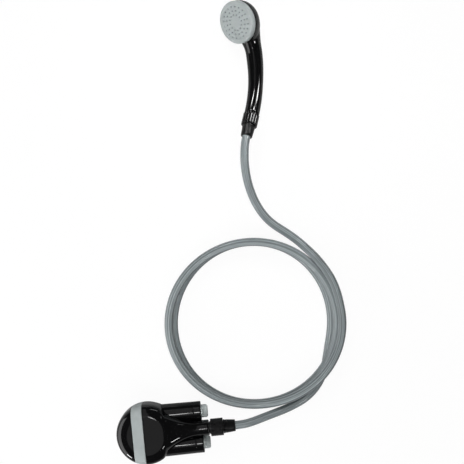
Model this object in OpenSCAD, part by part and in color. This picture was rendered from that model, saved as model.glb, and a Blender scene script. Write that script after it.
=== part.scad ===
// Battery camp shower pump with its looped hose and hand shower, laid out on a flat surface.
// Millimetres. The pump lies on its pad at the origin, its outlet along +X, +Z up.

/* [Pump body] */
// Radius of the round pump body
body_r = 47; // [46:0.5:54]
// Height of the body's flat top above the surface
body_top = 58; // [56:0.5:66]
// Squareness of the body's side profile, where 2 is round
body_square = 5; // [4:0.5:8]
// Wall of the moulded shells
wall = 2; // [1.6:0.1:2.4]
// Gap between shells that seat in each other
seat_gap = 0.3; // [0.2:0.05:0.4]
// Distance from the body's centre to the band's far edge
band_start = 20.4; // [18:0.2:22]
// Width of the grey band
band_w = 17.2; // [12:0.2:18]
// Length of the cover's spigot inside the housing
cover_lap = 6; // [4:0.5:9]
// Thickness of the rubber pad under the body
pad_t = 2.4; // [1.6:0.1:3]
// Diameter of the rubber pad
pad_d = 60; // [40:1:70]
// Number of intake slots in the cover
slot_count = 9; // [5:2:13]
// Width of an intake slot
slot_w = 3; // [2:0.1:4]
// Height of an intake slot
slot_h = 14; // [8:1:18]

/* [Outlet neck] */
// Radius of the neck at its end
neck_r = 11.2; // [10.8:0.1:13]
// Height of the outlet's centre line
neck_z = 38; // [37:0.5:42]
// Where the neck ends, from the body's centre
neck_end = 96.5; // [90:0.5:110]
// Where the round body turns into the flare
flare_start = 30; // [26:1:34]
// Where the flare becomes a straight neck
flare_end = 82; // [74:1:86]
// How far the flare is drawn in beside the tubes
flare_draw = 7.5; // [0:0.5:8]
// Outer diameter of the pipe inside
pipe_d = 12; // [10:0.5:12.5]
// Bore of the pipe
pipe_bore = 9; // [6:0.5:9.5]

/* [Batteries] */
// Diameter of a size C cell
cell_d = 26; // [25:0.1:26.2]
// Length of a size C cell
cell_len = 49.5; // [46:0.1:50]
// Play between a cell and its tube, on the radius
cell_play = 0.3; // [0.2:0.05:0.5]
// Outer diameter of a battery tube
tube_d = 31.6; // [31:0.1:32.4]
// Distance of each tube from the middle
tube_spread = 24.6; // [24.2:0.1:25]
// Height of the tubes' centre lines
tube_z = 24.5; // [21:0.5:26]
// Inner end of the cell space, from the body's centre
tube_floor = -19.5; // [-19.5:0.5:-12]
// Thickness of a tube's closed end
floor_t = 1.5; // [1:0.1:2]
// Height of a compressed battery spring
spring_h = 4.5; // [4:0.1:6]
// Thickness of the contact plates
plate_t = 0.5; // [0.4:0.1:0.8]

/* [Battery caps] */
// Length of a cap's threaded collar over its tube
cap_lap = 8; // [6:0.5:12]
// Wall of a cap's collar
cap_wall = 0.9; // [0.8:0.05:1.1]
// Thickness of a cap's end
cap_end_t = 2.2; // [1.6:0.1:3]
// Section diameter of a cap's sealing ring
cap_ring_d = 0.9; // [0.7:0.05:1.1]
// Diameter of the disc under a cap's finger tab
grip_d = 20; // [16:0.5:26]
// Thickness of that disc
grip_t = 2.6; // [2:0.1:4]
// Width of a finger tab
tab_w = 20; // [14:0.5:24]
// Height of a finger tab
tab_h = 8; // [6:0.5:14]
// Thickness of a finger tab
tab_t = 5; // [3:0.25:7]
// Corner radius of a finger tab
tab_corner = 3.5; // [2:0.25:5]
// Turn of the left tab from flat
left_tab_turn = 4; // [-90:1:90]
// Turn of the right tab from flat
right_tab_turn = -32; // [-90:1:90]

/* [Motor and pump chamber] */
// Height of the motor's shaft
motor_z = 21; // [20.5:0.25:21]
// Diameter of the motor case over its round sides
motor_d = 20; // [18:0.25:20]
// Width of the motor case over its flats
motor_w = 15; // [12:0.25:15.5]
// Length of the motor case
motor_len = 25; // [20:0.5:32]
// Diameter of the motor shaft
shaft_d = 2; // [1.5:0.1:3]
// Running clearance round the shaft, on the radius
shaft_play = 0.06; // [0.04:0.01:0.1]
// Thickness of the bulkhead behind the pump chamber
bulkhead_t = 2.4; // [2:0.1:3]
// Inner diameter of the pump chamber
chamber_d = 22; // [20:0.5:22]
// Depth of the pump chamber
chamber_len = 10; // [9:0.25:11]
// Wall of the pump chamber
chamber_wall = 2; // [1.6:0.1:2]
// Gap round the impeller
impeller_gap = 1.2; // [0.8:0.1:2]
// Number of impeller vanes
vane_count = 6; // [3:1:9]
// Diameter of the chamber's inlet eye
eye_d = 9; // [6:0.5:12]
// Diameter of the chamber's screws
screw_d = 2.5; // [2:0.1:3]

/* [Hose ends] */
// Outer diameter of the half-inch pipe thread
thread_d = 20.6; // [20:0.1:21]
// Length of a threaded spigot
thread_len = 14; // [10:0.5:18]
// Gap between a nut and its thread, on the radius
thread_gap = 0.3; // [0.25:0.05:0.4]
// Thickness of a sealing washer
washer_t = 1.8; // [1.2:0.1:3]
// Thickness of a hose tail's flange
flange_t = 1.6; // [1.2:0.1:2.5]
// Diameter of the pump's coupling nut
pump_nut_d = 27.25; // [25:0.25:30]
// Diameter of the hand shower's coupling nut
handset_nut_d = 25.2; // [24:0.2:28]
// Thickness of a nut's end
nut_end_t = 3.2; // [2:0.1:4]
// Number of fine grip ribs round the pump's nut
nut_ribs = 24; // [12:1:32]
// Radius of a fine grip rib
rib_r = 0.7; // [0.4:0.05:0.8]
// Number of broad grip ribs round the hand shower's nut
broad_ribs = 14; // [10:1:16]
// Radius of a broad grip rib
broad_rib_r = 2.2; // [1.5:0.1:3]
// Depth of the grooves between broad ribs
broad_rib_depth = 0.8; // [0.4:0.05:0.9]
// Diameter of the pump's hose sleeve at the nut
pump_sleeve_d = 21.6; // [19:0.2:24]
// Diameter of the hand shower's hose sleeve at the nut
handset_sleeve_d = 20.4; // [18:0.2:22]
// Diameter of a sleeve where the hose leaves it
sleeve_tip_d = 18; // [16.5:0.1:18.5]
// Length of a hose sleeve
sleeve_len = 18.5; // [12:0.5:19]
// Bore of a hose tail
tail_bore = 6.4; // [4:0.2:7]

/* [Hose] */
// Outer diameter of the hose
hose_d = 13; // [12:0.1:13.2]
// Bore of the hose
hose_bore = 9.5; // [9.2:0.1:10]
// Gap between loops that lie on each other
lay_gap = 0.7; // [0.6:0.05:1]

/* [Hand shower] */
// Diameter of the spray face
face_d = 66.5; // [60:0.5:72]
// Depth of the spray face's rim
face_depth = 9; // [8:0.25:12]
// Thickness of the spray face
face_t = 3; // [2:0.1:3.5]
// Radius of the spray face's front edge
face_edge = 2; // [1:0.1:2.5]
// Distance from the handle's centre line to the front of the face
head_reach = 27; // [24:0.5:30]
// Depth of the bowl behind the face
bowl_depth = 29; // [26:0.5:30]
// Diameter of the handle
handle_d = 23.6; // [23:0.1:25]
// Radius of the handle's bend
handle_bend = 204; // [170:2:300]
// Length of the handle's centre line, up to the middle of the face
handle_len = 155; // [140:1:170]
// How far the handle's round bar ends short of the middle of the face
bar_short = 12; // [8:0.5:16]
// Tilt of the face away from the handle
head_tilt = 1.5; // [0:0.5:16]
// Diameter of the waterway in the handle
waterway_d = 12; // [8:0.5:13]
// Diameter of a spray nozzle
nozzle_d = 2; // [1.4:0.1:2.4]
// How far a nozzle stands out of the face
nozzle_out = 0.9; // [0.4:0.1:1.5]
// Section diameter of the face's sealing ring
face_ring_d = 1.6; // [1.2:0.1:1.8]

// Roll of the hand shower about its handle, where 90 faces straight up
handset_roll = 42; // [40:0.5:90]

/* [Hidden] */
$fn = 48;

BLACK = "#17181a";
GREY = "#b9bcbf";
HOSE_GREY = "#8f9295";
STEEL = "#a9adb0";
BRASS = "#b99a52";
RUBBER = "#2a2b2d";

// Small gap that keeps touching pieces apart
touch = 0.1;
// Past any piece, for cuts
far = 400;

// Body profile: a squared oval, whose crown is cut flat
crown = 1.02;
side_steps = 12;
ring_steps = 40;
body_mid = (body_top + pad_t) / 2;
body_half = (body_top - pad_t) / 2;
split_x = band_w - band_start;
spigot_skin = wall + seat_gap;
spigot_inner = spigot_skin + 0.8 * wall;

function signed_power(v, p) = sign(v) * pow(abs(v), p);
function squared(a, square, flat) = [
    signed_power(cos(a), 2 / square),
    max(-1, min(1, flat * signed_power(sin(a), 2 / square))),
];

// The body turned about its upright axis, drawn in by skin on every side
module body_round(skin) {
    rotate_extrude($fn = 96)
        polygon([
            for (i = [-side_steps : side_steps])
                let (p = squared(90 * i / side_steps, body_square, crown))
                [max(0, (body_r - skin) * p[0]), body_mid + (body_half - skin) * p[1]],
        ]);
}

module slab(x0, x1) {
    translate([x0, -far / 2, -far / 2])
        cube([x1 - x0, far, far]);
}

module shell_slice(x0, x1, outer, inner) {
    intersection() {
        difference() {
            body_round(outer);
            body_round(inner);
        }
        slab(x0, x1);
    }
}

module on_x(x, y, z) {
    translate([x, y, z])
        rotate([0, 90, 0])
            children();
}

module ring(r_out, r_in, len) {
    difference() {
        cylinder(r = r_out, h = len);
        translate([0, 0, -1])
            cylinder(r = r_in, h = len + 2);
    }
}

// Flare of the housing: half width, half height, middle and squareness at x
flare_w = sqrt(body_r * body_r - flare_start * flare_start);
flare_power = flare_start / flare_w * (flare_end - flare_start) / (flare_w - neck_r);
square_start = 14;
slope_start = 24;
function ease(t) = let (c = max(0, min(1, t))) (1 - cos(180 * c)) / 2;
function mix(a, b, t) = a + (b - a) * t;
draw_end = slope_start + 8;
function drawn_in(x) =
    flare_draw * ease((x - slope_start) / (draw_end - slope_start))
    * pow(max(0, flare_end - x) / (flare_end - draw_end), 1.35);
function half_width(x) = -drawn_in(x) + (x < flare_start
    ? sqrt(body_r * body_r - x * x)
    : neck_r + (flare_w - neck_r) * pow(max(0, flare_end - x) / (flare_end - flare_start), flare_power));
function fall(x) = ease((x - slope_start) / (flare_end - slope_start));
function top_at(x) = mix(body_top, neck_z + neck_r, fall(x));
function bottom_at(x) = mix(pad_t, neck_z - neck_r, fall(x));
function square_at(x) = mix(body_square, 2, ease((x - square_start) / (flare_end - square_start)));
function crown_at(x) = mix(crown, 1, ease((x - square_start) / (flare_end - square_start)));

function housing_ring(x, skin) =
    let (w = half_width(x) - skin)
    let (h = (top_at(x) - bottom_at(x)) / 2 - skin)
    let (m = (top_at(x) + bottom_at(x)) / 2)
    [
        for (i = [0 : ring_steps - 1])
            let (p = squared(360 * i / ring_steps, square_at(x), crown_at(x)))
            [x, w * p[0], m + h * p[1]],
    ];

// A closed skin through rings of points, the last ring joined to the first
module closed_skin(rings) {
    n = len(rings[0]);
    m = len(rings);
    polyhedron(
        points = [for (r = rings) each r],
        faces = [
            for (j = [0 : m - 1], i = [0 : n - 1], half = [0, 1])
                let (k = (j + 1) % m)
                let (i2 = (i + 1) % n)
                half == 0
                    ? [j * n + i, j * n + i2, k * n + i2]
                    : [j * n + i, k * n + i2, k * n + i],
        ]
    );
}

housing_steps = 24;
housing_x = [for (i = [0 : housing_steps]) mix(split_x, neck_end, i / housing_steps)];

// Motor and pump chamber places
bulkhead_x = tube_floor - floor_t;
chamber_back = bulkhead_x - bulkhead_t;
chamber_front = chamber_back - chamber_len;
cover_t = 1.8;
impeller_r = chamber_d / 2 - impeller_gap;
seal_r = 4;
bell_len = 3.5;
terminal_y = 5;
motor_rear = bulkhead_x + motor_len + bell_len;
ear_r = screw_d / 2 + 1.5;
ear_at = chamber_d / 2 + chamber_wall + screw_d / 2;
pipe_start = chamber_back - 3.6;

// Battery tube sizes
tube_r = tube_d / 2;
bore_r = cell_d / 2 + cell_play;
thread_r = tube_r - cap_wall - seat_gap;
cell_start = tube_floor + spring_h;
cell_end = cell_start + 2 * cell_len;
mouth_x = cell_end - 0.4;
cap_floor = cell_end + touch + plate_t + touch;
cap_start = mouth_x - cap_lap;
strip_w = 5;
strip_depth = 1;
strip_x = motor_rear + 2;
strip_end = mouth_x - touch;
finger_len = 4;
tab_slot_w = strip_w + 4 * touch;

module at_tube(side, x) {
    on_x(x, side * tube_spread, tube_z)
        children();
}

// Hose end places, counted from the root of the thread
washer_at = thread_len;
flange_at = washer_at + washer_t;
nut_floor = flange_at + flange_t + touch;
nut_start = 1.2;
hose_at = nut_floor + nut_end_t + 1.3;
sleeve_at = nut_floor + nut_end_t + 0.5;
spigot_x = neck_end + 2.5;

// Where the hand shower lies: the handle's end, its heading and its slope down to the head
handset_place = [210.8, 481.4, 30.5];
handset_heading = 71.4;
handset_slope = 19.4;

// Hand shower places, in the frame of the handle's end
rim_x = head_reach - face_depth;
face_r = face_d / 2;
collar_r = face_r - 4;
collar_lap = 4;
nozzle_rings = [[12, 12], [18.3, 16], [24.6, 20]];
mat_r = 26.4;

module at_handset() {
    translate(handset_place)
        rotate([0, 90 + handset_slope, handset_heading])
            rotate([0, 0, 90 + handset_roll])
                children();
}

// The head's frame: z out of the face, from the end of the handle's centre line
module at_head() {
    at_handset()
        along_handle(handle_len)
            rotate([0, 90 - head_tilt, 0])
                children();
}

module at_pump_hose() {
    on_x(spigot_x, 0, neck_z)
        children();
}

module at_handset_hose() {
    at_handset()
        rotate([180, 0, 0])
            children();
}

// A place along the handle's centre line
module along_handle(len) {
    turn = len / handle_bend * 180 / PI;
    translate([handle_bend * (1 - cos(turn)), 0, handle_bend * sin(turn)])
        rotate([0, turn, 0])
            children();
}

// The handle's bend: a round bar turned through part of a circle
module handle_bar(d, len) {
    translate([handle_bend, 0, 0])
        rotate([0, 0, 180])
            rotate([90, 0, 0])
                rotate_extrude(angle = len / handle_bend * 180 / PI)
                    translate([handle_bend, 0])
                        circle(d = d);
}

module bowl(r, depth) {
    steps = 14;
    rotate_extrude()
        polygon([
            [0, rim_x],
            for (i = [0 : steps])
                let (a = 90 * i / steps)
                [r * cos(a), rim_x - depth * sin(a)],
        ]);
}

// Hose route: loops from a formula, free runs from points laid by eye.
// The loops spread sideways, by less in each loop.
coil_mid = [182.9, 153.6];
coil_r = 128.5;
coil_splay = 10;
coil_drift = 7.6;
coil_zero = 84.5;
coil_from = 78;
coil_to = 813;
loop_rings = 24;
hose_sides = 8;
lay_step = hose_d + lay_gap;
// Heights of the loops in layers, at angles round the coil
lay_heights = [
    [78, 1.76], [115, 1.94], [185, 1], [270, 0.9], [360, 1], [405, 0.98],
    [450, 0.88], [472, 1.02], [545, 0], [820, 0],
];
// From the pump's sleeve along the surface to the loops, with heights above the lying hose
pump_route = [
    [153.5, 0.35, 30.3], [166.5, 1.9, 25.9], [178.4, 4, 20.3], [188.8, 5.9, 14.9], [199.5, 7.8, 9.8],
    [210.1, 10, 5.8], [221.4, 12.8, 2.7], [232.4, 16.5, 0.8], [243.5, 21, 0.1], [254.3, 27, 0],
    [264.5, 34.8, 0], [274.3, 45.2, 0], [283, 58.6, 0], [289.9, 75.6, 0], [296.9, 101.6, 0],
];
// From the hand shower's sleeve, down and over onto the loops, the same way
handset_route = [
    [195.5, 433.7, 40.7], [193.5, 420.8, 42.7], [192.4, 407.9, 42.7], [192.4, 394.9, 40.9],
    [193.4, 381.9, 37.6], [195.5, 369.1, 33.4], [198.7, 356.5, 28.6], [203, 344.2, 23.8],
    [208.6, 332.5, 19.2], [215.4, 321.4, 15.2], [223.6, 311.4, 11.9], [233.2, 302.6, 9.5],
    [243.6, 294.5, 8.4], [254.1, 286, 8.5], [264.3, 276.8, 9.8], [275.4, 265.1, 13],
    [288.4, 249.6, 18.5], [299.9, 232.6, 22], [309.9, 213.6, 23.3], [316.9, 191.6, 23.5],
];

function lay_height(a, i = 0) =
    a <= lay_heights[i + 1][0]
        ? let (t = (a - lay_heights[i][0]) / (lay_heights[i + 1][0] - lay_heights[i][0]))
          mix(lay_heights[i][1], lay_heights[i + 1][1], ease(t))
        : lay_height(a, i + 1);
function coil_point(a) =
    let (spread = coil_splay - coil_drift * (a - 90) / 360)
    let (r = coil_r + spread * pow(sin(a), 2))
    [
        coil_mid[0] + r * cos(coil_zero - a),
        coil_mid[1] + r * sin(coil_zero - a),
        hose_d / 2 + lay_step * lay_height(a),
    ];
coil_step = 360 / loop_rings;
coil_path = [for (a = [coil_from : coil_step : coil_to]) coil_point(a)];

handset_axis = [
    cos(handset_heading) * cos(handset_slope),
    sin(handset_heading) * cos(handset_slope),
    -sin(handset_slope),
];
function handset_axis_point(back) = handset_place - back * handset_axis;
function lying(route) = [for (p = route) p + [0, 0, hose_d / 2]];
function pump_axis_point(out) = [spigot_x + out, 0, neck_z];
sleeve_end = sleeve_at + sleeve_len;
pump_path = [
    pump_axis_point(hose_at), pump_axis_point(sleeve_end + 1),
    each lying(pump_route), coil_path[len(coil_path) - 1],
];
handset_path = [
    handset_axis_point(hose_at), handset_axis_point(sleeve_end + 1),
    each lying(handset_route), coil_path[0],
];

function unit(v) = v / norm(v);
function path_way(path, i) =
    let (last = len(path) - 1)
    unit(path[min(last, i + 1)] - path[max(0, i - 1)]);
function path_ring(path, i, d, way) =
    let (side = unit(cross(way, [0, 0, 1])))
    let (up = cross(side, way))
    [
        for (k = [0 : hose_sides - 1])
            let (a = 360 * (k + 0.5) / hose_sides)
            path[i] + d / 2 * (cos(a) * side + sin(a) * up),
    ];

// A hose along a path, with its bore: out along the outside and back along the bore
module hose_tube(path, first_way, last_way) {
    last = len(path) - 1;
    ways = [
        for (i = [0 : last])
            i == 0 ? first_way : i == last ? last_way : path_way(path, i),
    ];
    closed_skin([
        for (i = [last : -1 : 0]) path_ring(path, i, hose_d, ways[i]),
        for (i = [0 : last]) path_ring(path, i, hose_bore, ways[i]),
    ]);
}

coil_first_way = unit(coil_point(coil_from + 1) - coil_point(coil_from));
coil_last_way = unit(coil_point(coil_to) - coil_point(coil_to - 1));

// The least gap between loops, measured on close points
fine_step = 5;
fine_coil = [for (a = [coil_from : fine_step : coil_to]) coil_point(a)];
fine_apart = 180 / fine_step;
coil_gap = min([
    for (i = [0 : len(fine_coil) - 1 - fine_apart], j = [i + fine_apart : len(fine_coil) - 1])
        norm(fine_coil[i] - fine_coil[j]),
]) - hose_d;
function path_length(path) = [for (i = [1 : len(path) - 1]) norm(path[i] - path[i - 1])] * [
    for (i = [1 : len(path) - 1]) 1,
];
echo(least_gap_between_loops = coil_gap);
echo(hose_length = path_length(pump_path) + path_length(fine_coil) + path_length(handset_path));

module housing() {
    color(BLACK)
        difference() {
            closed_skin([
                for (x = housing_x) housing_ring(x, 0),
                for (i = [housing_steps : -1 : 0]) housing_ring(housing_x[i], wall),
            ]);
            for (side = [-1, 1])
                at_tube(side, 0)
                    cylinder(r = tube_r + touch, h = mouth_x);
        }
}

module intake_cover() {
    slot_turn = 13;
    slot_foot = 8;
    color(BLACK)
        difference() {
            union() {
                shell_slice(-far / 2, -band_start, 0, wall);
                shell_slice(-band_start - 2 * wall, -band_start, wall / 2, spigot_inner);
                shell_slice(-band_start - wall, split_x + cover_lap, spigot_skin, spigot_inner);
            }
            for (i = [0 : slot_count - 1])
                rotate([0, 0, 180 + slot_turn * (i - (slot_count - 1) / 2)])
                    translate([0.8 * body_r, -slot_w / 2, slot_foot])
                        cube([body_r, slot_w, slot_h]);
            // Room for the inner ends of the battery tubes
            for (side = [-1, 1])
                at_tube(side, tube_floor - seat_gap)
                    cylinder(r = bore_r + seat_gap, h = far);
        }
}

module trim_band() {
    color(GREY)
        shell_slice(touch - band_start, split_x - touch, 0, wall);
}

module base_pad() {
    color(RUBBER)
        cylinder(d = pad_d, h = pad_t);
}

module screw_places() {
    for (a = [45 : 90 : 315])
        translate([ear_at * cos(a), ear_at * sin(a), 0])
            children();
}

module bulkhead() {
    color(BLACK)
        difference() {
            intersection() {
                body_round(spigot_inner + touch);
                slab(chamber_back, bulkhead_x);
            }
            on_x(chamber_back - 1, 0, motor_z) {
                cylinder(r = seal_r + touch / 2, h = bulkhead_t + 2);
                screw_places()
                    cylinder(d = screw_d + touch, h = bulkhead_t + 2);
            }
            on_x(chamber_back - 1, 0, neck_z)
                cylinder(d = pipe_d + touch, h = bulkhead_t + 2);
        }
}

module pump_chamber() {
    duct_d = 6.4;
    duct_wall = 1.4;
    duct_x = chamber_back - duct_d / 2 - duct_wall;
    block = [duct_d + 2 * duct_wall, pipe_d + 2 * chamber_wall, neck_z - motor_z + pipe_d / 2 + chamber_wall];
    color(BLACK)
        difference() {
            union() {
                on_x(chamber_front, 0, motor_z) {
                    cylinder(r = chamber_d / 2 + chamber_wall, h = chamber_len);
                    screw_places()
                        cylinder(r = ear_r, h = chamber_len);
                }
                translate([chamber_back - block[0], -block[1] / 2, motor_z])
                    cube(block);
            }
            on_x(chamber_front - 1, 0, motor_z) {
                cylinder(d = chamber_d, h = chamber_len - 0.5);
                cylinder(d = shaft_d + 2, h = chamber_len + 2);
                screw_places()
                    cylinder(d = screw_d + touch, h = chamber_len + 2);
            }
            translate([duct_x, 0, motor_z])
                cylinder(d = duct_d, h = neck_z - motor_z);
            on_x(pipe_start - touch, 0, neck_z)
                cylinder(d = pipe_d + touch, h = far);
        }
}

module chamber_cover() {
    color(BLACK)
        on_x(chamber_front - cover_t, 0, motor_z)
            difference() {
                union() {
                    cylinder(r = chamber_d / 2 + chamber_wall, h = cover_t);
                    screw_places()
                        cylinder(r = ear_r, h = cover_t);
                }
                translate([0, 0, -1])
                    cylinder(d = eye_d, h = cover_t + 2);
                screw_places()
                    translate([0, 0, -1])
                        cylinder(d = screw_d + touch, h = cover_t + 2);
            }
}

module chamber_screws() {
    head_t = 1.4;
    color(STEEL)
        on_x(chamber_front - cover_t, 0, motor_z)
            screw_places() {
                cylinder(d = screw_d, h = cover_t + chamber_len + bulkhead_t);
                translate([0, 0, -head_t])
                    cylinder(d = 1.8 * screw_d, h = head_t);
            }
}

module impeller() {
    disc_t = 1.2;
    hub_r = shaft_d / 2 + 2;
    vane_t = 1;
    depth = chamber_len - 1.5 - 2 * impeller_gap;
    color(GREY)
        on_x(chamber_front + impeller_gap, 0, motor_z)
            difference() {
                union() {
                    translate([0, 0, depth - disc_t])
                        cylinder(r = impeller_r, h = disc_t);
                    cylinder(r = hub_r, h = depth);
                    for (i = [0 : vane_count - 1])
                        rotate([0, 0, 360 * i / vane_count])
                            translate([0, -vane_t / 2, 0])
                                cube([impeller_r - touch, vane_t, depth]);
                }
                translate([0, 0, -1])
                    cylinder(d = shaft_d + touch, h = depth + 2);
            }
}

module motor_shaft() {
    color(STEEL)
        on_x(chamber_front + impeller_gap, 0, motor_z)
            cylinder(d = shaft_d, h = motor_rear - chamber_front - impeller_gap);
}

module shaft_seal() {
    color(RUBBER)
        on_x(chamber_back, 0, motor_z)
            ring(seal_r, shaft_d / 2 + shaft_play, bulkhead_t);
}

module motor_section(len, inset) {
    intersection() {
        cylinder(d = motor_d - 2 * inset, h = len);
        translate([-far / 2, -motor_w / 2 + inset, 0])
            cube([far, motor_w - 2 * inset, len]);
    }
}

module motor_can() {
    color(STEEL)
        on_x(bulkhead_x, 0, motor_z)
            difference() {
                motor_section(motor_len, 0);
                translate([0, 0, -1])
                    cylinder(r = shaft_d / 2 + shaft_play, h = motor_len + 2);
            }
}

module motor_end_bell() {
    color(RUBBER)
        on_x(bulkhead_x + motor_len, 0, motor_z)
            difference() {
                motor_section(bell_len, 0.6);
                translate([0, 0, -1])
                    cylinder(r = shaft_d / 2 + shaft_play, h = bell_len + 2);
            }
}

// Each lead runs from the end bell along the motor's axis, then across to its contact strip
module motor_leads() {
    lead_d = 1.6;
    strip_y = tube_spread - bore_r - strip_depth;
    color(BRASS)
        for (side = [-1, 1]) {
            on_x(motor_rear, side * terminal_y, tube_z)
                cylinder(d = lead_d, h = strip_x + strip_w / 2 - motor_rear);
            translate([strip_x + strip_w / 2, side * terminal_y, tube_z])
                rotate([-90 * side, 0, 0])
                    cylinder(d = lead_d, h = strip_y - terminal_y);
            translate([strip_x + strip_w / 2, side * terminal_y, tube_z])
                sphere(d = lead_d);
        }
}

module outlet_pipe() {
    color(GREY)
        on_x(pipe_start, 0, neck_z)
            ring(pipe_d / 2, pipe_bore / 2, neck_end - 2 - pipe_start);
}

module threaded_spigot(stem_r, stem_len, neck_len) {
    translate([0, 0, -neck_len])
        cylinder(r = thread_d / 2 - 1.3, h = neck_len + touch);
    cylinder(d = thread_d, h = thread_len);
    translate([0, 0, -neck_len - stem_len])
        cylinder(r = stem_r, h = stem_len + touch);
}

module outlet_spigot() {
    stem_len = 18;
    neck_len = spigot_x - neck_end;
    color(BLACK)
        at_pump_hose()
            difference() {
                threaded_spigot(neck_r - wall - seat_gap, stem_len, neck_len);
                translate([0, 0, -far / 2])
                    cylinder(d = pipe_bore, h = far);
                translate([0, 0, -far / 2])
                    cylinder(d = pipe_d + touch, h = far / 2 - neck_len - 2 + touch);
            }
}

module battery_tube(side) {
    groove = strip_w + 0.6;
    inner_y = -side * (bore_r + strip_depth + touch);
    color(BLACK)
        difference() {
            intersection() {
                at_tube(side, bulkhead_x) {
                    cylinder(r = tube_r, h = cap_start - bulkhead_x - touch);
                    cylinder(r = thread_r, h = mouth_x - bulkhead_x);
                }
                union() {
                    body_round(spigot_inner + seat_gap);
                    slab(0, far);
                }
            }
            at_tube(side, tube_floor)
                cylinder(r = bore_r, h = far);
            at_tube(side, strip_x - touch)
                translate([-groove / 2, min(0, inner_y), 0])
                    cube([groove, abs(inner_y), far]);
            at_tube(side, strip_x + strip_w / 2)
                rotate([90 * side, 0, 0])
                    cylinder(d = 2, h = tube_r + 1);
            at_tube(side, tube_floor)
                translate([-tab_slot_w / 2, min(0, -side * (tube_r + 1)), 0])
                    cube([tab_slot_w, tube_r + 1, plate_t + touch]);
        }
}

module cells(side) {
    nub_r = 3.4;
    nub_h = 1.4;
    color("#c8a046")
        for (i = [0, 1])
            at_tube(side, cell_start + i * cell_len + touch / 2) {
                cylinder(d = cell_d, h = cell_len - nub_h - touch);
                cylinder(r = nub_r, h = cell_len - touch);
            }
}

// Spring plate with a tab that reaches through the tube's wall to the motor case
module spring_contact(side) {
    plate_r = bore_r - 1;
    reach = tube_spread - motor_w / 2;
    color(BRASS)
        at_tube(side, tube_floor) {
            cylinder(r = plate_r, h = plate_t);
            translate([-strip_w / 2, min(0, -side * reach), 0])
                cube([strip_w, reach, plate_t]);
        }
}

// A cone of wire: three turns that narrow from the plate to the cell
module battery_spring(side) {
    wire_d = 0.8;
    turns = 3;
    turn_rings = 10;
    wide_r = 9;
    narrow_r = 4.5;
    rise = spring_h - plate_t - wire_d - 2 * touch;
    count = turns * turn_rings;
    function coil_at(i) =
        let (t = i / count, a = 360 * turns * t, r = mix(wide_r, narrow_r, t))
        [r * cos(a), r * sin(a), plate_t + touch + wire_d / 2 + rise * t];
    color(STEEL)
        at_tube(side, tube_floor)
            wire([for (i = [0 : count]) coil_at(i)], wire_d);
}

// A solid round wire of six sides along a path
module wire(path, d) {
    last = len(path) - 1;
    sides = 6;
    rings = [
        for (i = [0 : last])
            let (way = path_way(path, i))
            let (side = unit(cross(way, [0, 0, 1])))
            let (up = cross(side, way))
            [for (k = [0 : sides - 1]) path[i] + d / 2 * (cos(60 * k) * side + sin(60 * k) * up)],
    ];
    polyhedron(
        points = [for (r = rings) each r],
        faces = [
            [for (k = [0 : sides - 1]) k],
            [for (k = [sides - 1 : -1 : 0]) last * sides + k],
            for (j = [0 : last - 1], k = [0 : sides - 1], half = [0, 1])
                let (k2 = (k + 1) % sides)
                half == 0
                    ? [j * sides + k2, j * sides + k, (j + 1) * sides + k]
                    : [j * sides + k2, (j + 1) * sides + k, (j + 1) * sides + k2],
        ]
    );
}

// A strip along the tube's inner side, with a bent finger that meets the cap's contact plate
module contact_strip(side) {
    strip_y = bore_r + strip_depth;
    tip_y = strip_y - finger_len;
    color(BRASS)
        mirror([0, side > 0 ? 0 : 1, 0]) {
            at_tube(1, strip_x)
                translate([-strip_w / 2, -strip_y, 0])
                    cube([strip_w, plate_t, strip_end - strip_x]);
            at_tube(1, strip_end - plate_t)
                translate([-strip_w / 2, -strip_y, 0])
                    cube([strip_w, finger_len, plate_t]);
            at_tube(1, strip_end - plate_t)
                translate([-strip_w / 2, -tip_y - plate_t, 0])
                    cube([strip_w, plate_t, cap_floor - plate_t - touch - strip_end + plate_t]);
        }
}

module battery_cap(side) {
    color(BLACK)
        at_tube(side, cap_start)
            difference() {
                cylinder(r = tube_r, h = cap_floor + cap_end_t - cap_start);
                translate([0, 0, -1])
                    cylinder(r = thread_r + seat_gap, h = cap_floor - cap_start + 1);
            }
}

module cap_seal(side) {
    color(RUBBER)
        at_tube(side, (mouth_x + cap_floor) / 2)
            rotate_extrude()
                translate([(bore_r + thread_r) / 2, 0])
                    circle(d = cap_ring_d);
}

module cap_contact(side) {
    color(BRASS)
        at_tube(side, cap_floor - plate_t)
            cylinder(r = bore_r - 0.9, h = plate_t);
}

// Disc and flat finger tab, with round outer corners
module cap_grip(side, turn) {
    color(GREY)
        at_tube(side, cap_floor + cap_end_t)
            rotate([0, 0, turn]) {
                cylinder(d = grip_d, h = grip_t);
                translate([tab_t / 2, 0, 0])
                    rotate([0, -90, 0])
                        linear_extrude(tab_t) {
                            translate([0, -tab_w / 2])
                                square([grip_t + tab_h - tab_corner, tab_w]);
                            translate([0, tab_corner - tab_w / 2])
                                square([grip_t + tab_h, tab_w - 2 * tab_corner]);
                            for (y = [-1, 1])
                                translate([grip_t + tab_h - tab_corner, y * (tab_w / 2 - tab_corner)])
                                    circle(r = tab_corner);
                        }
            }
}

// Coupling nut with ribs for the fingers
module coupling_nut(d, count, r, depth) {
    length = nut_floor + nut_end_t - nut_start;
    color(BLACK)
        translate([0, 0, nut_start])
            difference() {
                linear_extrude(length) {
                    circle(d = d - 2 * depth);
                    for (i = [0 : count - 1])
                        rotate(360 * i / count)
                            translate([d / 2 - r, 0])
                                circle(r = r);
                }
                translate([0, 0, -1])
                    cylinder(r = thread_d / 2 + thread_gap, h = nut_floor - nut_start + 1);
                cylinder(r = hose_d / 2 + thread_gap, h = far);
            }
}

module sealing_washer() {
    color(RUBBER)
        translate([0, 0, washer_at])
            ring(thread_d / 2 - 0.6, tail_bore / 2 + 1, washer_t);
}

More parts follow.
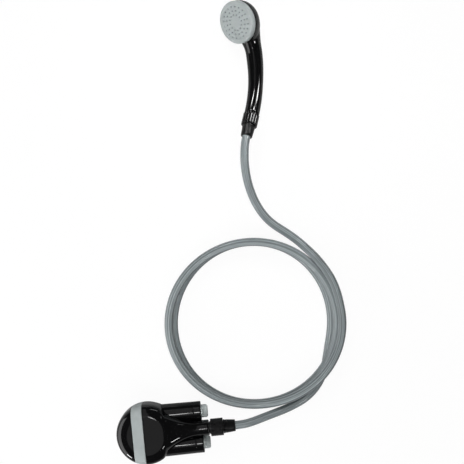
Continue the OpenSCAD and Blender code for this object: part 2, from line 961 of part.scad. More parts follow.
// Hose tail: flange under the nut, neck through it, stem in the hose's bore
module hose_tail() {
    stem_r = hose_bore / 2 * cos(180 / hose_sides) - touch;
    color(BRASS)
        difference() {
            union() {
                translate([0, 0, flange_at])
                    cylinder(r = thread_d / 2 - 0.6, h = flange_t);
                translate([0, 0, flange_at])
                    cylinder(d = hose_d, h = hose_at - flange_at);
                translate([0, 0, flange_at])
                    cylinder(r = stem_r, h = sleeve_at + sleeve_len - flange_at - 1);
            }
            cylinder(d = tail_bore, h = far);
        }
}

module hose_sleeve(d) {
    color(BLACK)
        translate([0, 0, sleeve_at])
            difference() {
                cylinder(d1 = d, d2 = sleeve_tip_d, h = sleeve_len);
                translate([0, 0, -1])
                    cylinder(d = hose_d + 2 * seat_gap, h = sleeve_len + 2);
            }
}

module hose_pump_run() {
    color(HOSE_GREY)
        hose_tube(pump_path, [1, 0, 0], -coil_last_way);
}

module hose_coil() {
    color(HOSE_GREY)
        hose_tube(coil_path, coil_first_way, coil_last_way);
}

module hose_handset_run() {
    color(HOSE_GREY)
        hose_tube(handset_path, -handset_axis, coil_first_way);
}

// Bent handle and bowl as one hollow moulding, open at the inlet and behind the face
module handset_shell() {
    bar_len = handle_len - bar_short;
    stem_r = thread_d / 2 - 2.4;
    stem_len = 20;
    color(BLACK)
        difference() {
            union() {
                at_handset() {
                    handle_bar(handle_d, bar_len);
                    along_handle(bar_len)
                        sphere(d = handle_d);
                }
                at_head() {
                    bowl(face_r - touch, bowl_depth);
                    cylinder(r = collar_r, h = rim_x + collar_lap);
                }
            }
            at_head() {
                bowl(collar_r - wall, bowl_depth - 2 * wall);
                translate([0, 0, rim_x - touch])
                    cylinder(r = collar_r - wall, h = far);
            }
            at_handset() {
                handle_bar(waterway_d, bar_len);
                cylinder(r = stem_r + touch, h = stem_len + touch);
            }
        }
}

module handset_inlet() {
    stem_r = thread_d / 2 - 2.4;
    stem_len = 20;
    color(BLACK)
        at_handset_hose()
            difference() {
                threaded_spigot(stem_r, stem_len, 0);
                translate([0, 0, -far / 2])
                    cylinder(d = pipe_bore, h = far);
            }
}

module nozzle_places() {
    for (r = nozzle_rings, i = [0 : r[1] - 1])
        rotate([0, 0, 360 * i / r[1]])
            translate([r[0], 0, 0])
                children();
}

module spray_face() {
    back = rim_x + touch;
    color(GREY)
        at_head()
            difference() {
                rotate_extrude() {
                    translate([0, back])
                        square([face_r, face_depth - touch - face_edge]);
                    translate([0, back])
                        square([face_r - face_edge, face_depth - touch]);
                    translate([face_r - face_edge, head_reach - face_edge])
                        circle(r = face_edge);
                }
                translate([0, 0, rim_x - 1])
                    cylinder(r = collar_r + seat_gap, h = face_depth - face_t + 1);
                nozzle_places()
                    cylinder(d = nozzle_d + 2 * touch, h = head_reach + 1);
            }
}

// Soft mat behind the face, whose nozzles stand through its holes
module nozzle_mat() {
    mat_t = 1.6;
    mat_front = head_reach - face_t - touch;
    color(HOSE_GREY)
        at_head() {
            translate([0, 0, mat_front - mat_t])
                cylinder(r = mat_r, h = mat_t);
            nozzle_places()
                translate([0, 0, mat_front - mat_t])
                    cylinder(d = nozzle_d, h = mat_t + face_t + nozzle_out);
        }
}

module face_seal() {
    color(RUBBER)
        at_head()
            translate([0, 0, (rim_x + collar_lap + head_reach - face_t) / 2])
                rotate_extrude()
                    translate([collar_r - wall / 2, 0])
                        circle(d = face_ring_d);
}

module pump_nut() {
    at_pump_hose()
        coupling_nut(pump_nut_d, nut_ribs, rib_r, rib_r / 2);
}

module pump_washer() {
    at_pump_hose()
        sealing_washer();
}

module pump_hose_tail() {
    at_pump_hose()
        hose_tail();
}

module pump_sleeve() {
    at_pump_hose()
        hose_sleeve(pump_sleeve_d);
}

module handset_nut() {
    at_handset_hose()
        coupling_nut(handset_nut_d, broad_ribs, broad_rib_r, broad_rib_depth);
}

module handset_washer() {
    at_handset_hose()
        sealing_washer();
}

module handset_hose_tail() {
    at_handset_hose()
        hose_tail();
}

module handset_sleeve() {
    at_handset_hose()
        hose_sleeve(handset_sleeve_d);
}

housing();
intake_cover();
trim_band();
base_pad();
bulkhead();
pump_chamber();
chamber_cover();
chamber_screws();
impeller();
motor_shaft();
shaft_seal();
motor_can();
motor_end_bell();
motor_leads();
outlet_pipe();
outlet_spigot();
battery_tube(1);  // battery_tube_left
battery_tube(-1);  // battery_tube_right
cells(1);  // cells_left
cells(-1);  // cells_right
spring_contact(1);  // spring_contact_left
spring_contact(-1);  // spring_contact_right
battery_spring(1);  // battery_spring_left
battery_spring(-1);  // battery_spring_right
contact_strip(1);  // contact_strip_left
contact_strip(-1);  // contact_strip_right
battery_cap(1);  // battery_cap_left
battery_cap(-1);  // battery_cap_right
cap_grip(1, left_tab_turn);  // cap_grip_left
cap_grip(-1, right_tab_turn);  // cap_grip_right
cap_contact(1);  // cap_contact_left
cap_contact(-1);  // cap_contact_right
cap_seal(1);  // cap_seal_left
cap_seal(-1);  // cap_seal_right
pump_nut();
pump_washer();
pump_hose_tail();
pump_sleeve();
hose_pump_run();
hose_coil();
hose_handset_run();
handset_nut();
handset_washer();
handset_hose_tail();
handset_sleeve();
handset_shell();
handset_inlet();
spray_face();
nozzle_mat();
face_seal();
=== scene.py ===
# %% [markdown]
# # Camp shower pump
# A battery pump, a long hose and a hand shower lie on a white table and are seen from straight above.
# The measured model gives every piece its size and its joints, and it is loaded first as a frame.
# What follows dresses that frame: smooth moulded shells, a real hose, knurled nuts and their finishes.

# %% Load the measured frame
import math
import bmesh
import bpy
import numpy as np
from mathutils import Matrix


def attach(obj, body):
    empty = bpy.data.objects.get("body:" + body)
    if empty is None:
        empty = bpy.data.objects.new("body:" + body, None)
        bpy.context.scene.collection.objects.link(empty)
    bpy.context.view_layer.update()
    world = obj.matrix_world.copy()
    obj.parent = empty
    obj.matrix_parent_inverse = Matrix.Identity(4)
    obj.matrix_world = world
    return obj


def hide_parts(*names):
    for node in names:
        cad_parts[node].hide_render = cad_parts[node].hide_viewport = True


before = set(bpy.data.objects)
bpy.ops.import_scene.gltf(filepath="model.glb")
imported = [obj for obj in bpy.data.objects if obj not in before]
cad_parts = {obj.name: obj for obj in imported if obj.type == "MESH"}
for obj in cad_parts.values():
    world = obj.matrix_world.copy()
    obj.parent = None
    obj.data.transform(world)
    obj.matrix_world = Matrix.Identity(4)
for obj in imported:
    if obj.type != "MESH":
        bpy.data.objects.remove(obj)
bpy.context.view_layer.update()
scene = bpy.context.scene
MM = 0.001

# %% [markdown]
# ## Camera
# The picture is a flat lay: the lens points straight down at the table, from about a metre and a half.
# A short distance like that leans the tall pump outwards a little, which a distant lens would not show.
# The turn of 5.5 degrees is how the pump's axis lies across the picture.

# %% Camera above the table
EYE = np.array([162.4, 300.4, 1530.0])
TABLE_WIDTH = 742.4
PUMP_TILT = 5.5
camera = bpy.data.objects.new("camera", bpy.data.cameras.new("camera"))
scene.collection.objects.link(camera)
scene.camera = camera
camera.location = EYE * MM
camera.rotation_euler = (0, 0, math.radians(-PUMP_TILT))
camera.data.sensor_fit = "HORIZONTAL"
camera.data.angle = 2 * math.atan(TABLE_WIDTH / 2 / EYE[2])
print("camera sees", TABLE_WIDTH, "mm of table across the picture")

# %% [markdown]
# ## From formulas to meshes
# Every new piece is a surface worked out on a grid of points, so one small helper turns a grid into quads.
# Rows that shrink to a single point close a pole, and merging doubles then leaves one clean vertex there.
# A list of grids makes one object of several closed surfaces, such as all the nozzles.

# %% Grid surfaces
def quads(rows, columns, loop):
    """Faces of a grid whose columns close round, and whose rows close too if loop is set."""
    index = np.arange(rows * columns).reshape(rows, columns)
    near = index if loop else index[:-1]
    far = np.roll(index, -1, axis=0) if loop else index[1:]
    return np.stack([near, np.roll(near, -1, 1), np.roll(far, -1, 1), far], -1).reshape(-1, 4)


def make_mesh(name, points, faces, sharp=38):
    """Mesh object from points in millimetres, with doubles merged and its faces turned outwards."""
    mesh = bpy.data.meshes.new(name)
    mesh.from_pydata((np.asarray(points, float).reshape(-1, 3) * MM).tolist(), [], np.asarray(faces).tolist())
    work = bmesh.new()
    work.from_mesh(mesh)
    bmesh.ops.remove_doubles(work, verts=work.verts, dist=2e-6)
    bmesh.ops.recalc_face_normals(work, faces=work.faces)
    work.to_mesh(mesh)
    work.free()
    mesh.shade_smooth()
    mesh.set_sharp_from_angle(angle=math.radians(sharp))
    piece = bpy.data.objects.new(name, mesh)
    scene.collection.objects.link(piece)
    return piece


def make_surface(name, grids, loop=False, sharp=38):
    """One object from grids of points [rows, columns, 3], each a surface that closes round its columns."""
    grids = [grids] if getattr(grids, "ndim", 0) == 3 else list(grids)
    starts = np.cumsum([0] + [grid.shape[0] * grid.shape[1] for grid in grids])
    faces = [quads(*grid.shape[:2], loop) + start for grid, start in zip(grids, starts)]
    points = np.concatenate([grid.reshape(-1, 3) for grid in grids])
    return make_mesh(name, points, np.concatenate(faces), sharp)


def fit_out(piece, body, slot, material, *nodes):
    """The piece moves with a body, takes a finish, and stands for the measured nodes that it dresses."""
    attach(piece, body)
    if nodes:
        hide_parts(*nodes)
    piece.data.materials.clear()
    piece.data.materials.append(material)
    print(piece.name, "has", len(piece.data.polygons), "faces")
    return piece


# %% [markdown]
# ## Finishes
# Each finish starts from what the real material is and how it was made, and its pattern has a size in
# millimetres. The nodes are added by one helper: settings by name, and inputs that are values or links.

# %% Colour and node helpers
def linear(code):
    """sRGB hex colour as linear red, green, blue and alpha: the usual curve, undone."""
    value = np.array([int(code[i:i + 2], 16) for i in (1, 3, 5)]) / 255
    value = np.where(value <= 0.04045, value / 12.92, ((value + 0.055) / 1.055) ** 2.4)
    return (*value.tolist(), 1.0)


def add_node(tree, kind, inputs=(), **settings):
    """Adds a node with its settings, then fills its inputs with values or links them to sockets."""
    node = tree.nodes.new(kind)
    for key, value in settings.items():
        setattr(node, key, value)
    for key, value in dict(inputs).items():
        if isinstance(value, bpy.types.NodeSocket):
            tree.links.new(value, node.inputs[key])
        else:
            node.inputs[key].default_value = value
    return node


def open_finish(name):
    """Empty material, its node tree, and the node whose coordinates its patterns read."""
    material = bpy.data.materials.new(name)
    material.use_nodes = True
    material.node_tree.nodes.clear()
    return material, material.node_tree, add_node(material.node_tree, "ShaderNodeTexCoord")


def grain(tree, vector, size_mm, detail=2.0, low=0.0, high=1.0):
    """Noise whose blotches are about size_mm wide, spread from low to high."""
    noise = add_node(tree, "ShaderNodeTexNoise", {"Vector": vector, "Scale": 1000 / size_mm, "Detail": detail})
    spread = add_node(tree, "ShaderNodeMapRange", {"Value": noise.outputs[0], "To Min": low, "To Max": high,
                                                   "From Min": 0.3, "From Max": 0.7})
    return spread.outputs[0]


def close_finish(tree, dark, light, tone, gloss, relief=None, depth_mm=0.0, **sockets):
    """Shader and output of a finish. Its colour lies between dark and light by tone, and gloss is its roughness.

    Tone and relief run from 0 to 1, and relief raises the surface by depth_mm. Other sockets are constant.
    """
    colour = add_node(tree, "ShaderNodeMix", {"Factor": tone, 6: linear(dark), 7: linear(light)},
                      data_type="RGBA")
    sockets.update({"Base Color": colour.outputs[2], "Roughness": gloss})
    if relief is not None:
        bump = add_node(tree, "ShaderNodeBump", {"Height": relief, "Distance": depth_mm * MM, "Strength": 1.0})
        sockets["Normal"] = bump.outputs[0]
    shader = add_node(tree, "ShaderNodeBsdfPrincipled", sockets)
    add_node(tree, "ShaderNodeOutputMaterial", {"Surface": shader.outputs[0]})


# %% Moulded plastics
def gloss_black(name, low, high, grit_mm, grit_depth):
    """ABS from a polished mould: near black, glossy, with a faint ripple and handling marks in its gloss."""
    material, tree, place = open_finish(name)
    spot = place.outputs["Object"]
    close_finish(tree, "#060607", "#09090a", tone=grain(tree, spot, 14.0),
                 gloss=grain(tree, spot, 9.0, 3.0, low, high),
                 relief=grain(tree, spot, grit_mm), depth_mm=grit_depth, IOR=1.53)
    return material


def grey_moulding(name, dark, light, low, high):
    """ABS coloured light grey in the mass: satin, with the grain of a spark-eroded mould.

    The real grain is about a tenth of a millimetre. It is drawn at 0.6 mm, because finer would not show.
    """
    material, tree, place = open_finish(name)
    spot = place.outputs["Object"]
    close_finish(tree, dark, light, tone=grain(tree, spot, 11.0, 3.0),
                 gloss=grain(tree, spot, 4.0, 2.0, low, high),
                 relief=grain(tree, spot, 0.6, 1.0), depth_mm=0.012, IOR=1.53)
    return material


black_abs = gloss_black("glossy_black_ABS", 0.06, 0.075, 7.0, 0.0008)
# The same plastic from an etched mould is duller, and its grit is drawn at 0.7 mm so that it shows
satin_black_abs = gloss_black("satin_black_ABS", 0.26, 0.36, 0.7, 0.02)
grey_abs = grey_moulding("light_grey_ABS", "#a4abab", "#aab1b1", 0.34, 0.42)
tab_abs = grey_moulding("pale_grey_ABS", "#b0b7b7", "#b8bfbe", 0.22, 0.32)

# %% Soft plastics and metals
# Extruded PVC: glossy grey. Streaks along its length, about two millimetres wide, are painted highlight lines and
# painted shade beside them
hose_pvc, tree, place = open_finish("extruded_grey_PVC")
stretch = add_node(tree, "ShaderNodeMapping", {"Vector": place.outputs["UV"], "Scale": (1.0, 0.004, 1.0)})
close_finish(tree, "#5e6668", "#a8b0b2", tone=grain(tree, stretch.outputs[0], 2.2),
             gloss=grain(tree, place.outputs["Object"], 20.0, 2.0, 0.08, 0.12),
             relief=grain(tree, stretch.outputs[0], 2.2, 1.0), depth_mm=0.03, IOR=1.53)

# Moulded silicone of the nozzles: a little darker than the face, and dull
nozzle_silicone, tree, place = open_finish("moulded_silicone")
spot = place.outputs["Object"]
close_finish(tree, "#979fa0", "#a1a9aa", tone=grain(tree, spot, 1.5),
             gloss=grain(tree, spot, 0.8, 1.0, 0.45, 0.6), IOR=1.41)

# Pressed nitrile rubber of the pad and the seals: dull black with a fine grain
seal_rubber, tree, place = open_finish("pressed_nitrile_rubber")
spot = place.outputs["Object"]
close_finish(tree, "#18191a", "#222324", tone=grain(tree, spot, 3.0),
             gloss=grain(tree, spot, 1.0, 2.0, 0.62, 0.78),
             relief=grain(tree, spot, 0.8), depth_mm=0.03, IOR=1.52)


def drawn_metal(name, dark, light, low, high):
    """Drawn or stamped metal: bright, with lines along the piece, drawn 0.35 mm apart because finer don't show."""
    material, tree, place = open_finish(name)
    lines = add_node(tree, "ShaderNodeMapping", {"Vector": place.outputs["Object"], "Scale": (0.05, 1.0, 1.0)})
    close_finish(tree, dark, light, tone=grain(tree, lines.outputs[0], 0.35),
                 gloss=grain(tree, lines.outputs[0], 0.35, 2.0, low, high), Metallic=1.0)
    return material


bright_steel = drawn_metal("drawn_steel", "#9a9ea1", "#b4b8ba", 0.24, 0.38)
tinned_brass = drawn_metal("stamped_brass", "#a8873f", "#c0a055", 0.22, 0.36)

# The film round the cells and the acetal inside the pump are satin, so they take the grey moulding's patterns
cell_sleeve = grey_moulding("shrink_sleeve_on_cell", "#8f7430", "#9c8038", 0.25, 0.35)
inner_grey = grey_moulding("moulded_grey_acetal", "#a9adae", "#b3b7b8", 0.4, 0.5)

# Inner pieces keep their measured shape and only take a finish
for material, nodes in (
        (satin_black_abs, "bulkhead pump_chamber chamber_cover motor_end_bell outlet_spigot handset_inlet"),
        (inner_grey, "impeller outlet_pipe"),
        (seal_rubber, "base_pad shaft_seal cap_seal_left cap_seal_right pump_washer handset_washer face_seal"),
        (bright_steel, "chamber_screws motor_shaft motor_can battery_spring_left battery_spring_right"),
        (tinned_brass, "motor_leads spring_contact_left spring_contact_right contact_strip_left"
                       " contact_strip_right cap_contact_left cap_contact_right pump_hose_tail handset_hose_tail"),
        (cell_sleeve, "cells_left cells_right")):
    for node in nodes.split():
        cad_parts[node].data.materials.clear()
        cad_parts[node].data.materials.append(material)
print("finishes:", len(bpy.data.materials))

# %% [markdown]
# ## Hose
# One length of PVC hose leaves the pump, lies on the table, winds a little over twice round and comes off
# the top of its own loops to the hand shower. A curve object could carry it, but a tube worked out ring by
# ring keeps its round section where it climbs over itself, and carries painted highlight streaks along its length.
# The route is the measured one: points for the two free runs, and a formula for the loops.

# %% Route of the hose
HOSE_D = 13.0
LIE = HOSE_D / 2
PUMP_SPOUT = np.array([99.0, 0.0, 38.0])
HANDLE_END = np.array([210.8, 481.4, 30.5])
HEADING, SLOPE, ROLL = np.radians([71.4, 19.4, 42.0])
handle_axis = np.array([
    math.cos(HEADING) * math.cos(SLOPE), math.sin(HEADING) * math.cos(SLOPE), -math.sin(SLOPE)])
pump_run = np.array([
    [153.5, 0.35, 30.3], [166.5, 1.9, 25.9], [178.4, 4, 20.3], [188.8, 5.9, 14.9], [199.5, 7.8, 9.8],
    [210.1, 10, 5.8], [221.4, 12.8, 2.7], [232.4, 16.5, 0.8], [243.5, 21, 0.1], [254.3, 27, 0], [264.5, 34.8, 0],
    [274.3, 45.2, 0], [283, 58.6, 0], [289.9, 75.6, 0], [296.9, 101.6, 0]]) + [0, 0, LIE]
handset_run = np.array([
    [195.5, 433.7, 40.7], [193.5, 420.8, 42.7], [192.4, 407.9, 42.7], [192.4, 394.9, 40.9], [193.4, 381.9, 37.6],
    [195.5, 369.1, 33.4], [198.7, 356.5, 28.6], [203, 344.2, 23.8], [208.6, 332.5, 19.2], [215.4, 321.4, 15.2],
    [223.6, 311.4, 11.9], [233.2, 302.6, 9.5], [243.6, 294.5, 8.4], [254.1, 286, 8.5], [264.3, 276.8, 9.8],
    [275.4, 265.1, 13], [288.4, 249.6, 18.5], [299.9, 232.6, 22], [309.9, 213.6, 23.3],
    [316.9, 191.6, 23.5]]) + [0, 0, LIE]

# The loops: size and place in millimetres, and how many layers up the hose lies at an angle in degrees
LOOP_R, LOOP_SPREAD, LOOP_SHRINK = 128.5, 10, 7.6
LOOP_MIDDLE, LOOP_LEAN = (182.9, 153.6), 84.5
LOOP_ENTER, LOOP_LEAVE, LOOP_STEP = 813.0, 77.0, 7.5
LAYER_GAP = 0.7
lay_heights = np.array([
    [78, 1.76], [115, 1.94], [185, 1], [270, 0.9], [360, 1], [405, 0.98], [450, 0.88], [472, 1.02], [545, 0],
    [820, 0]])


def eased_between(at, table):
    """Value from a table of (place, value) rows, eased by half a cosine between neighbours."""
    row = np.clip(np.searchsorted(table[:, 0], at) - 1, 0, len(table) - 2)
    share = (at - table[row, 0]) / (table[row + 1, 0] - table[row, 0])
    return table[row, 1] + (table[row + 1, 1] - table[row, 1]) * (1 - np.cos(np.pi * share)) / 2


def loop_points(angle):
    """Loops of the hose: a circle spread sideways, less in each turn, that climbs from layer to layer."""
    spread = LOOP_SPREAD - LOOP_SHRINK * (angle - 90) / 360
    radius = LOOP_R + spread * np.sin(np.radians(angle)) ** 2
    turn = np.radians(LOOP_LEAN - angle)
    height = LIE + (HOSE_D + LAYER_GAP) * eased_between(angle, lay_heights)
    x, y = LOOP_MIDDLE
    return np.stack([x + radius * np.cos(turn), y + radius * np.sin(turn), height], -1)


def smooth_path(points, step):
    """Points every step along a natural cubic spline: its bends at the points solve one set of equations."""
    at = np.r_[0, np.cumsum(np.linalg.norm(np.diff(points, axis=0), axis=1))]
    gap = np.diff(at)
    middle = np.arange(1, len(at) - 1)
    system = np.eye(len(at))
    system[middle, middle] = 2 * (gap[:-1] + gap[1:])
    system[middle, middle - 1] = gap[:-1]
    system[middle, middle + 1] = gap[1:]
    slope = np.diff(points, axis=0) / gap[:, None]
    right = np.zeros_like(points)
    right[1:-1] = 6 * np.diff(slope, axis=0)
    bend = np.linalg.solve(system, right)
    place = np.linspace(0, at[-1], int(at[-1] / step) + 1)
    i = np.clip(np.searchsorted(at, place) - 1, 0, len(gap) - 1)
    t, g = (place - at[i])[:, None], gap[i][:, None]
    start = slope[i] - g * (2 * bend[i] + bend[i + 1]) / 6
    return points[i] + t * (start + t * (bend[i] / 2 + t * (bend[i + 1] - bend[i]) / (6 * g)))


HOSE_STEP = 3.0
IN_SLEEVE = np.array([22.0, 31.0, 40.7])
pump_end = PUMP_SPOUT + np.outer(IN_SLEEVE, [1, 0, 0])
handset_end = HANDLE_END - np.outer(IN_SLEEVE[::-1], handle_axis)
loops = loop_points(np.arange(LOOP_ENTER, LOOP_LEAVE, -LOOP_STEP))
hose_path = smooth_path(np.concatenate([pump_end, pump_run, loops, handset_run[::-1], handset_end]), HOSE_STEP)
hose_length = float(np.linalg.norm(np.diff(hose_path, axis=0), axis=1).sum())
print("hose: %.0f mm long, its middle up to %.1f mm high" % (hose_length, hose_path[:, 2].max()))

# %% Tube along the route
def tube_rings(path, radius, sides):
    """Rings square to a path: sideways is level, and up is square to both the path and sideways."""
    way = np.gradient(path, axis=0)
    way /= np.linalg.norm(way, axis=1, keepdims=True)
    level = np.cross(way, [0, 0, 1.0])
    level /= np.linalg.norm(level, axis=1, keepdims=True)
    up = np.cross(level, way)
    angle = np.linspace(0, 2 * np.pi, sides, endpoint=False)[:, None]
    return path[:, None] + radius * (np.cos(angle) * level[:, None] + np.sin(angle) * up[:, None])


HOSE_SIDES, OFF_TABLE = 28, 0.02
hose_rings = tube_rings(hose_path, LIE, HOSE_SIDES)
hose_rings[..., 2] = np.maximum(hose_rings[..., 2], OFF_TABLE)
hose_ends = [np.repeat(hose_path[[end]], HOSE_SIDES, axis=0)[None] for end in (0, -1)]
hose = make_surface("hose", np.concatenate([hose_ends[0], hose_rings, hose_ends[1]]), sharp=60)

# The painted highlight streaks run along the hose, so its map is metres round it, folded to hide a seam, and
# metres along it
ring_of = np.repeat(np.arange(len(hose_path)), HOSE_SIDES)
along = np.r_[0, HOSE_STEP * ring_of, hose_length] * MM
loop_vertex = np.empty(len(hose.data.loops), int)
hose.data.loops.foreach_get("vertex_index", loop_vertex)
round_share = (loop_vertex - 1) % HOSE_SIDES
folded = np.minimum(round_share, HOSE_SIDES - round_share) * np.pi * HOSE_D / HOSE_SIDES * MM
streaks = hose.data.uv_layers.new(name="streaks")
streaks.data.foreach_set("uv", np.stack([folded, along[loop_vertex]], -1).ravel())
fit_out(hose, "pump", "hose", hose_pvc, "hose_pump_run", "hose_coil", "hose_handset_run")

# %% [markdown]
# ## Turned pieces
# Nuts, sleeves, caps and the spray face are all round, so each is a profile carried round an axis.
# Sharp corners look wrong on moulded plastic, so every corner of a profile is eased into a short curve.

# %% Profiles and axes
def eased(profile, radius, steps=5):
    """Profile of (radius, height) points whose inner corners become short curves of that reach."""
    p = np.asarray(profile, float)
    into, out = p[:-2] - p[1:-1], p[2:] - p[1:-1]
    reach = np.broadcast_to(np.asarray(radius, float), len(into))[:, None]
    near, far = np.linalg.norm(into, axis=1)[:, None], np.linalg.norm(out, axis=1)[:, None]
    start = p[1:-1] + into / near * np.minimum(reach, 0.48 * near)
    end = p[1:-1] + out / far * np.minimum(reach, 0.48 * far)
    t = np.linspace(0, 1, steps)[None, :, None]
    curve = (1 - t) ** 2 * start[:, None] + 2 * t * (1 - t) * p[1:-1, None] + t ** 2 * end[:, None]
    return np.concatenate([p[:1], curve.reshape(-1, 2), p[-1:]])


def filled(profile, step):
    """Profile with extra points, so that no stretch is longer than step."""
    p = np.asarray(profile, float)
    at = np.r_[0, np.cumsum(np.linalg.norm(np.diff(p, axis=0), axis=1))]
    more = np.unique(np.r_[at, np.arange(0, at[-1], step)].round(6))
    return np.stack([np.interp(more, at, p[:, k]) for k in (0, 1)], -1)


def turned(profile, sides, swell=None):
    """Profile carried round the z axis. swell(angle, radius, height) adds to the radius, as ribs do."""
    angle = np.linspace(0, 2 * np.pi, sides, endpoint=False)[None]
    r, z = profile[:, :1], profile[:, 1:]
    r = r + (0 if swell is None else swell(angle, r, z))
    return np.stack([r * np.cos(angle), r * np.sin(angle), z + 0 * angle], -1)


def placed(points, axes, origin):
    """Points turned so that x, y and z lie along the columns of axes, then moved to an origin."""
    return points @ np.asarray(axes, float).T + np.asarray(origin, float)


ALONG_PUMP = np.array([[0, 0, 1.0], [0, 1, 0], [-1, 0, 0]])


def turn_about(axis, angle):
    """Rotation matrix about the y or z axis."""
    c, s = math.cos(angle), math.sin(angle)
    if axis == "y":
        return np.array([[c, 0, s], [0, 1, 0], [-s, 0, c]])
    return np.array([[c, -s, 0], [s, c, 0], [0, 0, 1]])


handle_axes = (turn_about("z", HEADING) @ turn_about("y", math.pi / 2 + SLOPE)
               @ turn_about("z", math.pi / 2 + ROLL))
hose_side_axes = handle_axes @ np.diag([1.0, -1.0, -1.0])
print("handle points along", np.round(handle_axes[:, 2], 3))

# %% [markdown]
# ## Pump body
# The body is moulded in two black shells with a light grey band between them. Seen from the side the round
# body is a squared oval, and its top is flat. The front shell narrows into the outlet neck: its sections
# start as that squared oval and end as a circle, which is a loft. Subdividing a box would only come near it.

# %% Sections of the body
BODY_R, BODY_TOP, PAD = 47.0, 58.0, 2.4
BODY_MID, BODY_HALF = (BODY_TOP + PAD) / 2, (BODY_TOP - PAD) / 2
SQUARE, CROWN = 5.0, 1.02
NECK_R, NECK_Z, NECK_END = 11.2, 38.0, 96.5
FLARE_START, FLARE_END, FLARE_DRAW = 30.0, 82.0, 7.5
SLOPE_START, DRAWN_IN, FADE_START = 24, 32, 14
DRAW_POWER = 1.35
STEP_DEPTH, STEP_R, STEP_WIDTH = 3.4, 30, 10
STEP_ENTER, STEP_GROW, STEP_LEAVE, STEP_SHRINK = 2, 22, 80, 40
COVER_END, BAND_END = -20.4, -3.2


def round_section(x, skin, count):
    """Section of the round body at each x. Height runs as a sine, and width is what the squared oval leaves."""
    x, skin = np.asarray(x, float)[:, None], np.asarray(skin, float)[:, None]
    r, h = BODY_R - skin, BODY_HALF - skin
    tallest = (1 - np.clip(np.abs(x) / r, 0, 1) ** SQUARE) ** (1 / SQUARE)
    share = tallest * np.sin(np.linspace(-np.pi / 2, np.pi / 2, count))[None]
    reach = r * (1 - np.clip(np.abs(share), 0, 1) ** SQUARE) ** (1 / SQUARE)
    y = np.sqrt(np.maximum(reach ** 2 - x ** 2, 0))
    z = BODY_MID + h * np.clip(CROWN * share, -1, 1)
    half = np.stack([x + 0 * y, y, z], -1)
    return np.concatenate([half, (half * [1, -1, 1])[:, -2:0:-1]], axis=1)


def half_cosine(t):
    """Rise from 0 to 1 that starts and ends level."""
    return (1 - np.cos(np.pi * np.clip(t, 0, 1))) / 2


def front_section(x, skin, count):
    """Section of the front shell at each x: a circle, then a flare drawn in beside the tubes, ever less square.

    Round the flat top the surface steps down, by a half cosine over the step's width.
    """
    x, skin = np.asarray(x, float)[:, None], np.asarray(skin, float)[:, None]
    wide = math.sqrt(BODY_R ** 2 - FLARE_START ** 2)
    power = FLARE_START / wide * (FLARE_END - FLARE_START) / (wide - NECK_R)
    flare = NECK_R + (wide - NECK_R) * (np.maximum(FLARE_END - x, 0) / (FLARE_END - FLARE_START)) ** power
    drawn = half_cosine((x - SLOPE_START) / (DRAWN_IN - SLOPE_START))
    drawn = drawn * (np.maximum(FLARE_END - x, 0) / (FLARE_END - DRAWN_IN)) ** DRAW_POWER
    width = np.where(x < FLARE_START, np.sqrt(np.maximum(BODY_R ** 2 - x ** 2, 0)), flare)
    width = width - FLARE_DRAW * drawn - skin
    fall = half_cosine((x - SLOPE_START) / (FLARE_END - SLOPE_START))
    top = BODY_TOP + (NECK_Z + NECK_R - BODY_TOP) * fall
    bottom = PAD + (NECK_Z - NECK_R - PAD) * fall
    fade = half_cosine((x - FADE_START) / (FLARE_END - FADE_START))
    power = 2 / (SQUARE + (2 - SQUARE) * fade)
    flat = CROWN + (1 - CROWN) * fade
    a = np.linspace(0, 2 * np.pi, count, endpoint=False)[None]
    y = width * np.sign(np.cos(a)) * np.abs(np.cos(a)) ** power
    rise = np.clip(flat * np.sign(np.sin(a)) * np.abs(np.sin(a)) ** power, -1, 1)
    z = (top + bottom) / 2 + ((top - bottom) / 2 - skin) * rise
    step = half_cosine((np.hypot(x, y) - STEP_R) / STEP_WIDTH)
    step = step * half_cosine((x - STEP_ENTER) / STEP_GROW) * half_cosine((STEP_LEAVE - x) / STEP_SHRINK)
    return np.stack([x + 0 * y, y, z - STEP_DEPTH * step * np.clip(rise, 0, 1)], -1)


# %% Rear cover with its intake slots
WALL, BODY_SIDES = 2.0, 90
COVER_ROWS, LINING_ROWS = 46, 40
plan_out = np.linspace(0, math.acos(-COVER_END / BODY_R), COVER_ROWS)
plan_in = np.linspace(0, math.acos(-(COVER_END - 0.5) / (BODY_R - WALL)), LINING_ROWS)
x_out = np.minimum(-BODY_R * np.cos(plan_out), COVER_END - 0.5)
x_in = -(BODY_R - WALL) * np.cos(plan_in)
cover_x = np.r_[x_out, COVER_END - 0.15, COVER_END, COVER_END, COVER_END - 0.3, x_in[::-1]]
cover_skin = np.r_[np.zeros(COVER_ROWS), 0.12, 0.5, WALL - 0.3, WALL, np.full(LINING_ROWS, WALL)]
cover = make_surface("rear_cover", round_section(cover_x, cover_skin, BODY_SIDES))


def box_points(low, high):
    """Eight corners of a box, in the order that box_faces counts them."""
    corner = np.array([[0, 0, 0], [1, 0, 0], [1, 1, 0], [0, 1, 0], [0, 0, 1], [1, 0, 1], [1, 1, 1], [0, 1, 1]])
    return np.asarray(low) + corner * (np.asarray(high) - np.asarray(low))


